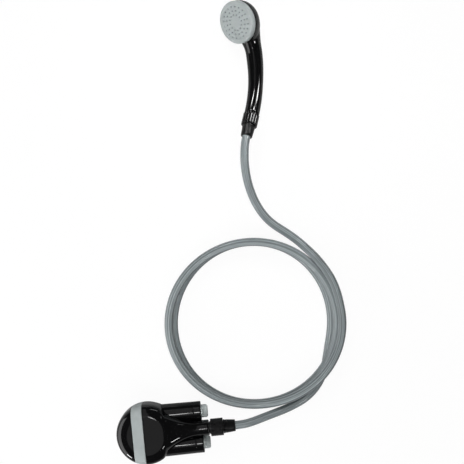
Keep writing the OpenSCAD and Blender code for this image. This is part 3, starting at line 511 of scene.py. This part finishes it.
box_faces = np.array([[0, 3, 2, 1], [4, 5, 6, 7], [0, 1, 5, 4], [1, 2, 6, 5], [2, 3, 7, 6], [3, 0, 4, 7]])
SLOT_COUNT, SLOT_PITCH, SLOT_W = 9, 13.0, 3.0
SLOT_IN, SLOT_OUT, SLOT_LOW, SLOT_HIGH = 37.6, 60, 8, 22
slot_box = box_points([SLOT_IN, -SLOT_W / 2, SLOT_LOW], [SLOT_OUT, SLOT_W / 2, SLOT_HIGH])
slot_turns = np.pi + np.radians(SLOT_PITCH * (np.arange(SLOT_COUNT) - SLOT_COUNT // 2))
slot_points = np.stack([placed(slot_box, turn_about("z", t), (0, 0, 0)) for t in slot_turns])
slot_faces = (box_faces[None] + 8 * np.arange(SLOT_COUNT)[:, None, None]).reshape(-1, 4)
cutter = make_mesh("slot_cutter", slot_points, slot_faces)


def cut_from(piece, tool):
    """Takes the tool's shape out of the piece and removes the tool."""
    cut = piece.modifiers.new("cut", "BOOLEAN")
    cut.object, cut.operation, cut.solver = tool, "DIFFERENCE", "EXACT"
    bpy.context.view_layer.update()
    result = bpy.data.meshes.new_from_object(piece.evaluated_get(bpy.context.evaluated_depsgraph_get()))
    piece.modifiers.clear()
    piece.data = result
    result.shade_smooth()
    result.set_sharp_from_angle(angle=math.radians(38))
    bpy.data.objects.remove(tool)


cut_from(cover, cutter)
fit_out(cover, "pump", "black_shell", black_abs, "intake_cover")

# %% Grey band
BAND_ROWS = 14
band_x = np.r_[COVER_END + 0.1, COVER_END + 0.25, np.linspace(COVER_END + 0.6, BAND_END - 0.6, BAND_ROWS),
               BAND_END - 0.25, BAND_END - 0.1, BAND_END - 0.1, COVER_END + 0.1]
band_skin = np.r_[0.5, 0.12, np.zeros(BAND_ROWS), 0.12, 0.5, WALL, WALL]
band = make_surface("grey_band", round_section(band_x, band_skin, BODY_SIDES), loop=True)
fit_out(band, "pump", "grey_trim", grey_abs, "trim_band")

# %% Front shell
# Round each battery tube the shell swells into a fillet: nearest the tube the wall stands out the most
TUBE_Y, TUBE_Z, TUBE_R = 24.6, 24.5, 15.8
FILLET, FILLET_START, FILLET_RISE = 9.0, 12, 22
SHELL_ROWS, SHELL_SIDES = 84, 176
outer_x = np.r_[BAND_END, BAND_END + 0.15, np.linspace(BAND_END + 0.5, NECK_END - 0.6, SHELL_ROWS),
                NECK_END - 0.2, NECK_END]
outer_skin = np.r_[0.5, 0.12, np.zeros(SHELL_ROWS), 0.15, 0.6]
inner_x = np.linspace(NECK_END, BAND_END, LINING_ROWS)
outer_wall = front_section(outer_x, outer_skin, SHELL_SIDES)
around = np.roll(outer_wall, -1, 1) - np.roll(outer_wall, 1, 1)
outward = np.cross(around, np.gradient(outer_wall, axis=0))
outward /= np.maximum(np.linalg.norm(outward, axis=2, keepdims=True), 1e-9)
from_middle = outer_wall - outer_wall.mean(axis=1, keepdims=True)
outward *= np.sign(np.sum(outward * from_middle, axis=2, keepdims=True))
tube_gap = np.hypot(np.abs(outer_wall[..., 1]) - TUBE_Y, outer_wall[..., 2] - TUBE_Z) - TUBE_R
swelling = (FILLET - np.clip(tube_gap, 0, FILLET)) ** 2 / (4 * FILLET)
swelling = swelling * half_cosine((outer_wall[..., 0] - FILLET_START) / FILLET_RISE)
outer_wall = outer_wall + outward * swelling[..., None]


def relaxed(grid, rounds, first, last):
    """Grid whose rows from first to last move halfway to the mean of their four neighbours, several times."""
    grid = grid.copy()
    for _ in range(rounds):
        beside = np.roll(grid, 1, 1) + np.roll(grid, -1, 1)
        mean = (beside[first:last] + grid[first - 1:last - 1] + grid[first + 1:last + 1]) / 4
        grid[first:last] = (grid[first:last] + mean) / 2
    return grid


outer_wall = relaxed(outer_wall, rounds=8, first=12, last=80)
inner_wall = front_section(inner_x, np.full(LINING_ROWS, WALL), SHELL_SIDES)
front = make_surface("front_shell", np.concatenate([outer_wall, inner_wall]), loop=True)
fit_out(front, "pump", "black_shell", black_abs, "housing")

# %% [markdown]
# ## Battery tubes and their caps
# Two tubes hold the cells beside the neck. Each ends in a thread that the cap hides until it is unscrewed,
# so the thread is real: the radius rises and falls along a helix of 3 mm pitch. The cap is plain, with a grey
# disc and a finger tab on its end.

# %% Tubes with threads
MOUTH, CAP_START, CAP_FLOOR, CAP_END = 83.6, 75.6, 84.7, 86.9
THREAD_PITCH, THREAD_R, THREAD_RISE, THREAD_SINK, DRAFT = 3.0, 14.6, 0.45, 0.3, 1.2
TUBE_BORE, TUBE_START = 13.3, -14


def thread_swell(angle, r, z):
    """Triangle wave along a helix, on the threaded stretch only."""
    phase = (z / THREAD_PITCH - angle / (2 * np.pi)) % 1.0
    on = half_cosine((z - CAP_START - 0.4) / 1.2) * half_cosine((MOUTH - 0.3 - z) / 1.2) * (r > 14)
    return on * (np.abs(2 * phase - 1) * THREAD_RISE - THREAD_SINK)


thread_z = np.arange(CAP_START + 0.4, MOUTH - 0.4, 0.25)
tube_profile = np.concatenate([
    eased([[TUBE_BORE, TUBE_START], [TUBE_R + DRAFT, TUBE_START], [TUBE_R, CAP_START - 0.1],
           [THREAD_R, CAP_START - 0.1], [THREAD_R, CAP_START + 0.4]], [0.5, 0.4, 0.2]),
    np.stack([np.full(len(thread_z), THREAD_R), thread_z], -1),
    eased([[THREAD_R, MOUTH - 0.4], [THREAD_R, MOUTH], [TUBE_BORE, MOUTH], [TUBE_BORE, TUBE_START]],
          [0.3, 0.3])])
for side, y in (("left", TUBE_Y), ("right", -TUBE_Y)):
    shape = placed(turned(filled(tube_profile, 1.5), 96, thread_swell), ALONG_PUMP, (0, y, TUBE_Z))
    fit_out(make_surface("battery_tube_" + side + "_skin", shape), "pump", "black_shell", black_abs,
            "battery_tube_" + side)

# %% Screw caps
CAP_BORE = 14.9
cap_profile = filled(eased([[0, CAP_FLOOR], [CAP_BORE, CAP_FLOOR], [CAP_BORE, CAP_START], [TUBE_R, CAP_START],
                            [TUBE_R, CAP_END], [0, CAP_END]], [0.3, 0.25, 0.3, 0.9]), 2.0)
for side, y in (("left", TUBE_Y), ("right", -TUBE_Y)):
    cap = make_surface("screw_cap_" + side, placed(turned(cap_profile, 128), ALONG_PUMP, (0, y, TUBE_Z)))
    fit_out(cap, side + "_cap", "black_shell", black_abs, "battery_cap_" + side)

# %% Finger tabs
TAB_W, TAB_TOP, TAB_FOOT, TAB_CORNER = 20.0, 10.6, 0.2, 3.5
DISC_R, DISC_T = 10, 2.6


def tab_outline(inset, count):
    """Outline of the tab, drawn in by inset: a rectangle that stands on the disc, with round outer corners."""
    half, top, corner = TAB_W / 2 - inset, TAB_TOP - inset, TAB_CORNER - min(inset, TAB_CORNER - 0.3)
    turn = np.linspace(0, np.pi / 2, count)
    right = np.stack([half - corner + corner * np.cos(turn), top - corner + corner * np.sin(turn)], -1)
    left = np.stack([-half + corner - corner * np.sin(turn), top - corner + corner * np.cos(turn)], -1)
    share = np.linspace(0, 1, 8)[1:-1, None]
    base = np.array([[-half, TAB_FOOT]]) * (1 - share) + np.array([[half, TAB_FOOT]]) * share
    return np.concatenate([[[half, TAB_FOOT]], right, left, [[-half, TAB_FOOT]], base])


# The tab's faces bulge: its outline is drawn in row by row as the depth runs from one face to the other
insets = np.array([9.0, 3.4, 1.5, 1.25, 0.7, 0.25, 0.0, 0.0, 0.25, 0.7, 1.25, 1.5, 3.4, 9.0])
depths = np.array([-2.2, -2.2, -2.25, -2.5, -2.5, -2.2, -1.7, 1.7, 2.2, 2.5, 2.5, 2.25, 2.2, 2.2])
outlines = np.stack([tab_outline(inset, 9) for inset in insets])
tab_rows = np.stack([depths[:, None] + 0 * outlines[..., 0], outlines[..., 0], outlines[..., 1]], -1)
tab_ends = [np.repeat(tab_rows[[end]].mean(axis=1, keepdims=True), tab_rows.shape[1], axis=1)
            for end in (0, -1)]
tab = np.concatenate([tab_ends[0], tab_rows, tab_ends[1]])
disc = turned(eased([[0, 0], [DISC_R, 0], [DISC_R, DISC_T], [0, DISC_T]], [0.2, 0.7]), 72)
for side, y, turn in (("left", TUBE_Y, 4), ("right", -TUBE_Y, -32)):
    axes = ALONG_PUMP @ turn_about("z", math.radians(turn))
    shapes = [placed(part, axes, (CAP_END, y, TUBE_Z)) for part in (disc, tab)]
    fit_out(make_surface("finger_tab_" + side, shapes), side + "_cap", "grey_trim", tab_abs, "cap_grip_" + side)

# %% [markdown]
# ## Couplings
# A nut holds the hose at each end. The pump's nut has a fine crossed knurl, and the hand shower's has broad
# flutes. A short tapered sleeve behind each nut grips the hose and keeps it from kinking.

# %% Nuts and sleeves
NUT_START, NUT_FLOOR, NUT_END = 1.2, 17.5, 20.7
NUT_BORE, TAIL_HOLE = 10.6, 6.8
KNURL_COUNT, KNURL_TWIST, KNURL_DEPTH = 18, 1.35, 0.42
FLUTE_PAIRS, FLUTE_DEPTH = 6, 0.95
SLEEVE_START, SLEEVE_END, SLEEVE_NECK, SLEEVE_LIP, GROOVE = 21.2, 39.7, 8.6, 9.0, 0.5


def nut_profile(radius):
    """Nut: a collar with a bore for the thread and an end with a hole for the hose tail."""
    return eased([[TAIL_HOLE, NUT_FLOOR], [NUT_BORE, NUT_FLOOR], [NUT_BORE, NUT_START], [radius, NUT_START],
                  [radius, NUT_END], [TAIL_HOLE, NUT_END], [TAIL_HOLE, NUT_FLOOR]], [0.2, 0.3, 0.9, 0.9, 0.2])


def knurl(angle, r, z):
    """Two sets of helical ridges that cross, faded at the nut's ends."""
    on = half_cosine((z - NUT_START - 1.2) / 1.0) * half_cosine((NUT_END - 1.2 - z) / 1.0) * (r > 11.2)
    around, twist = KNURL_COUNT * angle, KNURL_TWIST * z
    return -KNURL_DEPTH * on * (0.5 + 0.5 * np.cos(around + twist) * np.cos(around - twist))


def flutes(angle, r, z):
    """Broad round ridges along the nut, with narrow grooves between them."""
    on = half_cosine((z - NUT_START - 1.0) / 1.6) * half_cosine((NUT_END - 1.0 - z) / 1.6) * (r > 11.0)
    return -FLUTE_DEPTH * on * (1 - np.abs(np.sin(FLUTE_PAIRS * angle)) ** 0.6)


def sleeve_profile(radius):
    """Sleeve: a short neck at the nut, a taper with a shallow groove, and a rounded lip at the hose."""
    slope = (radius - SLEEVE_LIP) / (SLEEVE_END - SLEEVE_START)
    taper = [[radius - sunk - run * slope, SLEEVE_START + run]
             for run, sunk in ((2.2, 0), (2.6, GROOVE), (3.4, GROOVE), (3.8, 0))]
    return eased([[TAIL_HOLE, NUT_END + 0.1], [SLEEVE_NECK, NUT_END + 0.1], [SLEEVE_NECK, SLEEVE_START],
                  [radius, SLEEVE_START], *taper, [SLEEVE_LIP, SLEEVE_END], [TAIL_HOLE, SLEEVE_END],
                  [TAIL_HOLE, NUT_END + 0.1]], [0.1, 0.1, 0.5, 0.15, 0.15, 0.15, 0.15, 1.0, 0.2])


for end, axes, origin, nut_r, sleeve_r, swell, sides in (
        ("pump", ALONG_PUMP, PUMP_SPOUT, 13.6, 10.8, knurl, 288),
        ("handset", hose_side_axes, HANDLE_END, 12.6, 10.2, flutes, 196)):
    shape = placed(turned(filled(nut_profile(nut_r), 0.55), sides, swell), axes, origin)
    fit_out(make_surface(end + "_coupling_nut", shape, sharp=50), end + "_nut", "black_shell",
            satin_black_abs if end == "pump" else black_abs, end + "_nut")
    shape = placed(turned(filled(sleeve_profile(sleeve_r), 1.0), 96), axes, origin)
    fit_out(make_surface(end + "_hose_sleeve", shape), "pump", "black_shell", satin_black_abs, end + "_sleeve")

# %% [markdown]
# ## Hand shower
# Handle and bowl are one moulding, and the handle flows into the bowl with no corner. A bent bar and a bowl
# are worked out first, each point is moved out to where the two shapes melt together, and a fine remesh then
# joins them into one skin. The melt is a smooth minimum of the two distances.

# %% Handle and bowl in one skin
BEND_R, HANDLE_LEN, HANDLE_R = 204.0, 155.0, 11.8
HEAD_TILT = math.radians(1.5)
FACE_R, REACH, FACE_DEPTH, BOWL_DEPTH = 33.25, 27.0, 9.0, 29.0
RIM = REACH - FACE_DEPTH
BAR_END, MELT = 140.0, 18.0
HANDLE_SWELL, SWELL_START, SWELL_RUN = 1.4, 45, 60
BAR_ROWS, BALL_ROWS, BAR_SIDES = 108, 23, 64
BOWL_MEAN, BOWL_FADE, SKIN_STEP = 30.0, 6.0, 0.75
head_turn = HANDLE_LEN / BEND_R
head_centre = np.array([BEND_R * (1 - math.cos(head_turn)), 0, BEND_R * math.sin(head_turn)])
head_axes = turn_about("y", head_turn + math.pi / 2 - HEAD_TILT)


def bar_radius(s):
    """Radius of the handle at a length along it: it swells by half a cosine towards the bowl."""
    return HANDLE_R + HANDLE_SWELL * half_cosine((s - SWELL_START) / SWELL_RUN)


def bar_distance(p):
    """Distance to the bent bar: to its centre circle in the bend's plane, or to its end, less its radius."""
    ring = np.hypot(p[..., 0] - BEND_R, p[..., 2])
    s = BEND_R * np.arctan2(p[..., 2], BEND_R - p[..., 0])
    beyond = np.maximum(s - BAR_END, 0)
    return np.sqrt((ring - BEND_R) ** 2 + p[..., 1] ** 2 + beyond ** 2) - bar_radius(s)


def bowl_distance(p):
    """About the distance to the bowl: the share of its oval that the point reaches, times a length."""
    q = (p - head_centre) @ head_axes
    depth = np.minimum(q[..., 2] - RIM, 0)
    share = np.sqrt((np.hypot(q[..., 0], q[..., 1]) / FACE_R) ** 2 + (depth / BOWL_DEPTH) ** 2)
    return np.maximum((share - 1) * BOWL_MEAN, q[..., 2] - RIM)


def melt(points, normals, other):
    """Points moved out along their normals by a smooth minimum: melt less gap, squared, over four times melt."""
    gap = np.clip(np.abs(other(points)), 0, MELT)
    return points + normals * ((MELT - gap) ** 2 / (4 * MELT))[..., None]


# The bar ends in half a ball: its rows tilt from straight out to straight along
s = np.linspace(0, BAR_END, BAR_ROWS)
tilt = np.linspace(0, np.pi / 2, BALL_ROWS + 1)[1:]
s, tilt = np.r_[s, np.full(BALL_ROWS, BAR_END)][:, None], np.r_[0 * s, tilt][:, None]
a = np.linspace(0, 2 * np.pi, BAR_SIDES, endpoint=False)[None]
bar_side = np.stack([np.cos(a) * np.cos(s / BEND_R), np.sin(a) + 0 * s, -np.cos(a) * np.sin(s / BEND_R)], -1)
bar_ahead = np.stack([np.sin(s / BEND_R), 0 * s, np.cos(s / BEND_R)], -1)
bar_out = np.cos(tilt)[..., None] * bar_side + np.sin(tilt)[..., None] * bar_ahead
bar_line = np.stack([BEND_R * (1 - np.cos(s / BEND_R)), 0 * s, BEND_R * np.sin(s / BEND_R)], -1)
bar = melt(bar_line + bar_radius(s)[..., None] * bar_out, bar_out, bowl_distance)
bar = np.concatenate([np.repeat(bar_line[:1], BAR_SIDES, 1), bar])

# The bowl's normals point along the slope of its oval, and its swelling fades out at the rim
t = np.linspace(0, np.pi / 2, 60)
bowl_profile = np.stack([FACE_R * np.cos(t), RIM - BOWL_DEPTH * np.sin(t)], -1)
bowl_profile = np.concatenate([[[0, RIM], [FACE_R, RIM]], bowl_profile[1:]])
bowl_local = turned(bowl_profile, 128)
bowl_out = bowl_local / [FACE_R ** 2, FACE_R ** 2, 1]
bowl_out[..., 2] = (bowl_local[..., 2] - RIM) / BOWL_DEPTH ** 2
bowl_out /= np.maximum(np.linalg.norm(bowl_out, axis=2, keepdims=True), 1e-9)
fade = half_cosine((RIM - bowl_local[..., 2:]) / BOWL_FADE)
bowl_raw = placed(bowl_local, head_axes, head_centre)
bowl_melted = melt(bowl_raw, bowl_out @ head_axes.T, bar_distance)
bowl_skin = bowl_raw + (bowl_melted - bowl_raw) * fade
shapes = [placed(part, handle_axes, HANDLE_END) for part in (bar, bowl_skin)]
handset = make_surface("hand_shower", shapes)

remesh = handset.modifiers.new("one_skin", "REMESH")
remesh.mode, remesh.voxel_size = "VOXEL", SKIN_STEP * MM
soften = handset.modifiers.new("soften", "SMOOTH")
soften.factor, soften.iterations = 0.5, 14
bpy.context.view_layer.update()
one_skin = bpy.data.meshes.new_from_object(handset.evaluated_get(bpy.context.evaluated_depsgraph_get()))
handset.modifiers.clear()
handset.data = one_skin
one_skin.shade_smooth()
fit_out(handset, "pump", "black_shell", black_abs, "handset_shell")

# %% [markdown]
# ## Spray face
# The grey face screws onto the bowl. Its rim is rounded, a groove runs inside the rim, and three rings of soft
# nozzles stand through it round a plain middle. Each nozzle is a small turned cone with a dimple in its tip,
# and its foot is sunk in the face, so no hole has to be cut.

# %% Face and collar
face_axes = handle_axes @ head_axes
face_centre = placed(head_centre[None], handle_axes, HANDLE_END)[0]
face_profile = eased([[0, 24.0], [29.45, 24.0], [29.45, RIM + 0.1], [32.8, RIM + 0.1], [FACE_R, RIM + 1.2],
                      [FACE_R, REACH], [28.6, REACH], [28.0, REACH - 0.5], [27.4, REACH - 0.5],
                      [26.8, REACH - 0.2], [9.4, REACH - 0.2], [8.9, REACH - 0.5], [0, REACH - 0.5]],
                     [0.4, 0.3, 0.3, 0.3, 2.2, 0.3, 0.2, 0.2, 0.3, 0.2, 0.2])
face = make_surface("spray_face_plate", placed(turned(face_profile, 144), face_axes, face_centre))
fit_out(face, "face", "grey_trim", grey_abs, "spray_face")

COLLAR_IN, COLLAR_OUT, COLLAR_FOOT, COLLAR_TOP = 27.25, 29.25, RIM - 2, 22.0
collar_profile = eased([[COLLAR_IN, COLLAR_FOOT], [COLLAR_OUT, COLLAR_FOOT], [COLLAR_OUT, COLLAR_TOP],
                        [COLLAR_IN, COLLAR_TOP], [COLLAR_IN, COLLAR_FOOT]], 0.3)
collar = make_surface("face_collar", placed(turned(collar_profile, 96), face_axes, face_centre))
fit_out(collar, "pump", "black_shell", satin_black_abs)

# %% Nozzles
nozzle_profile = np.array([[0, -2.0], [1.5, -2.0], [1.5, -0.1], [1.38, 0.7], [1.2, 1.4], [0.95, 1.7],
                           [0.75, 1.65], [0.5, 0.9], [0, 0.5]]) + [0, REACH - 0.2]
nozzle = turned(nozzle_profile, 14)
RING_R, RING_COUNT = (12.0, 18.3, 24.6), (12, 16, 20)
ring_radius = np.repeat(RING_R, RING_COUNT)
ring_angle = 2 * np.pi * np.concatenate([np.arange(count) / count for count in RING_COUNT])
nozzle_at = np.stack([ring_radius * np.cos(ring_angle), ring_radius * np.sin(ring_angle), 0 * ring_angle], -1)
nozzles = make_surface("nozzles", [placed(nozzle + at, face_axes, face_centre) for at in nozzle_at], sharp=60)
fit_out(nozzles, "face", "soft_grey", nozzle_silicone, "nozzle_mat")

# %% [markdown]
# ## Table and light
# The table is white and keeps a soft shadow. Two broad lamps give the plain light, and black gloss doesn't
# mirror them. What it does mirror is a set of small lamps and panels, each placed where a highlight of the
# picture asks for it. Most of the small lamps have narrow beams, like a lamp behind a grid, so that each one
# marks only the piece that it is meant for. The rest of the room is dim, so that flat black tops stay black.

# %% White table
def share_seen(tree, mirror, direct):
    """Light path node, and a mix share: one for camera rays, one for mirrored rays, none for others."""
    ray = add_node(tree, "ShaderNodeLightPath")
    mirrored = add_node(tree, "ShaderNodeMath", {0: ray.outputs["Is Glossy Ray"],
                                                 1: ray.outputs["Is Transmission Ray"]}, operation="MAXIMUM")
    straight = add_node(tree, "ShaderNodeMath", {0: ray.outputs["Is Camera Ray"], 1: direct},
                        operation="MULTIPLY")
    seen = add_node(tree, "ShaderNodeMath", {0: mirrored.outputs[0], 1: mirror, 2: straight.outputs[0]},
                    operation="MULTIPLY_ADD")
    return ray, seen.outputs[0]


table_mesh = bpy.data.meshes.new("table")
table_mesh.from_pydata(box_points([-4, -4, -0.05], [4, 4, -0.0002]).tolist(), [], box_faces.tolist())
table = bpy.data.objects.new("table", table_mesh)
scene.collection.objects.link(table)
table_white = bpy.data.materials.new("white_table")
table_white.use_nodes = True
tree = table_white.node_tree
tree.nodes.clear()
ray, seen = share_seen(tree, mirror=0.12, direct=0.94)
shade = add_node(tree, "ShaderNodeMapRange", {"Value": ray.outputs["Is Camera Ray"], "To Min": 0.3,
                                              "To Max": 0.95})
paint = add_node(tree, "ShaderNodeBsdfDiffuse", {"Color": shade.outputs[0]})
glow = add_node(tree, "ShaderNodeEmission", {"Color": (1, 1, 1, 1), "Strength": 1.0})
both = add_node(tree, "ShaderNodeMixShader", {0: seen, 1: paint.outputs[0], 2: glow.outputs[0]})
add_node(tree, "ShaderNodeOutputMaterial", {"Surface": both.outputs[0]})
table_mesh.materials.append(table_white)

# %% Lamps and room
def add_lamp(name, place, aim, along, size, radiance, spread=180):
    """Rectangular lamp that faces a point, its first side along a direction, its beam spread over an angle.

    Power is radiance times pi times area, and for a narrow beam times 1 less half the angle over its tangent.
    """
    half = math.radians(spread) / 2
    data = bpy.data.lights.new(name, "AREA")
    data.shape, data.size, data.size_y = "RECTANGLE", size[0], size[1]
    data.spread = 2 * half
    data.energy = radiance * math.pi * size[0] * size[1] * (1 - half / math.tan(half))
    lamp = bpy.data.objects.new(name, data)
    scene.collection.objects.link(lamp)
    back = np.asarray(place, float) - np.asarray(aim, float)
    back /= np.linalg.norm(back)
    across = np.asarray(along, float) - np.dot(along, back) * back
    across /= np.linalg.norm(across)
    turn = np.eye(4)
    turn[:3, 0], turn[:3, 1], turn[:3, 2], turn[:3, 3] = across, np.cross(back, across), back, place
    lamp.matrix_world = Matrix(turn.tolist())
    return lamp


for name, place, radiance in (("soft_front", (-0.1, -2.1, 3.2), 2.7), ("soft_back", (0.2, 2.6, 2.6), 2.2)):
    add_lamp(name, place, (0.16, 0.30, 0), (1, 0, 0), (3, 3), radiance).visible_glossy = False

# Lamps for single highlights. Each row: name, place to light, the lamp's direction and distance from there, its
# first side, its size, its radiance and the angle of its beam.
GRIP, NECK = np.array([0.222, 0.53, 0.03]), np.array([0.226, 0.595, 0.030])
PUMP, SHOULDER, LOOP = np.array([[0.05, 0.025, 0.04], [0.043, -0.012, 0.052], [0.18, 0.155, 0.01]])
for name, spot, toward, far, side, size, radiance, spread in (
        ("lamp_right", GRIP, (0.721, 0.370, 0.586), 1.5, (-0.659, 0.523, 0.54), (0.95, 0.08), 44, 27),
        ("lamp_left", GRIP, (-0.268, 0.670, 0.692), 1.5, (-0.606, 0.424, -0.673), (0.70, 0.07), 66, 27),
        ("lamp_nut", GRIP, (0.430, 0.590, 0.683), 1.5, (-0.729, 0.583, 0.357), (0.30, 0.10), 44, 27),
        ("lamp_small", PUMP, (-0.056, -0.035, 0.998), 3, (1, 0, 0), (0.16, 0.34), 14, 180),
        ("lamp_shoulder", SHOULDER, (0.381, -0.563, 0.734), 1.5, (1, 0, 0), (0.24, 0.12), 28, 27),
        ("lamp_neck", NECK, (0.649, -0.334, 0.684), 1.5, (1, 0, 0), (0.22, 0.16), 45, 12),
        ("lamp_low", LOOP, (-0.632, -0.706, 0.322), 2, (0.745, -0.667, 0), (0.3, 0.2), 25, 180)):
    add_lamp(name, spot + far * np.array(toward), spot, side, size, radiance, spread)

# Panels that round black forms mirror as soft grey bands
add_lamp("panel_above", (-0.15, 0.9, 1.6), (-0.15, 0.9, 0), (1, 0, 0), (0.5, 3.2), 0.3)
add_lamp("panel_beside", (-0.9, -0.15, 0.36), (0, 0, 0.05), (0, 1, 0), (1.6, 0.72), 2.0)

room = bpy.data.worlds.new("room")
scene.world = room
room.use_nodes = True
tree = room.node_tree
tree.nodes.clear()
ray, seen = share_seen(tree, mirror=0.03, direct=1.0)
dim = add_node(tree, "ShaderNodeBackground", {"Color": (1, 1, 1, 1), "Strength": 0.02})
plain = add_node(tree, "ShaderNodeBackground", {"Color": (1, 1, 1, 1), "Strength": 1.0})
sky = add_node(tree, "ShaderNodeMixShader", {0: seen, 1: dim.outputs[0], 2: plain.outputs[0]})
add_node(tree, "ShaderNodeOutputWorld", {"Surface": sky.outputs[0]})
scene.view_settings.view_transform = "Standard"
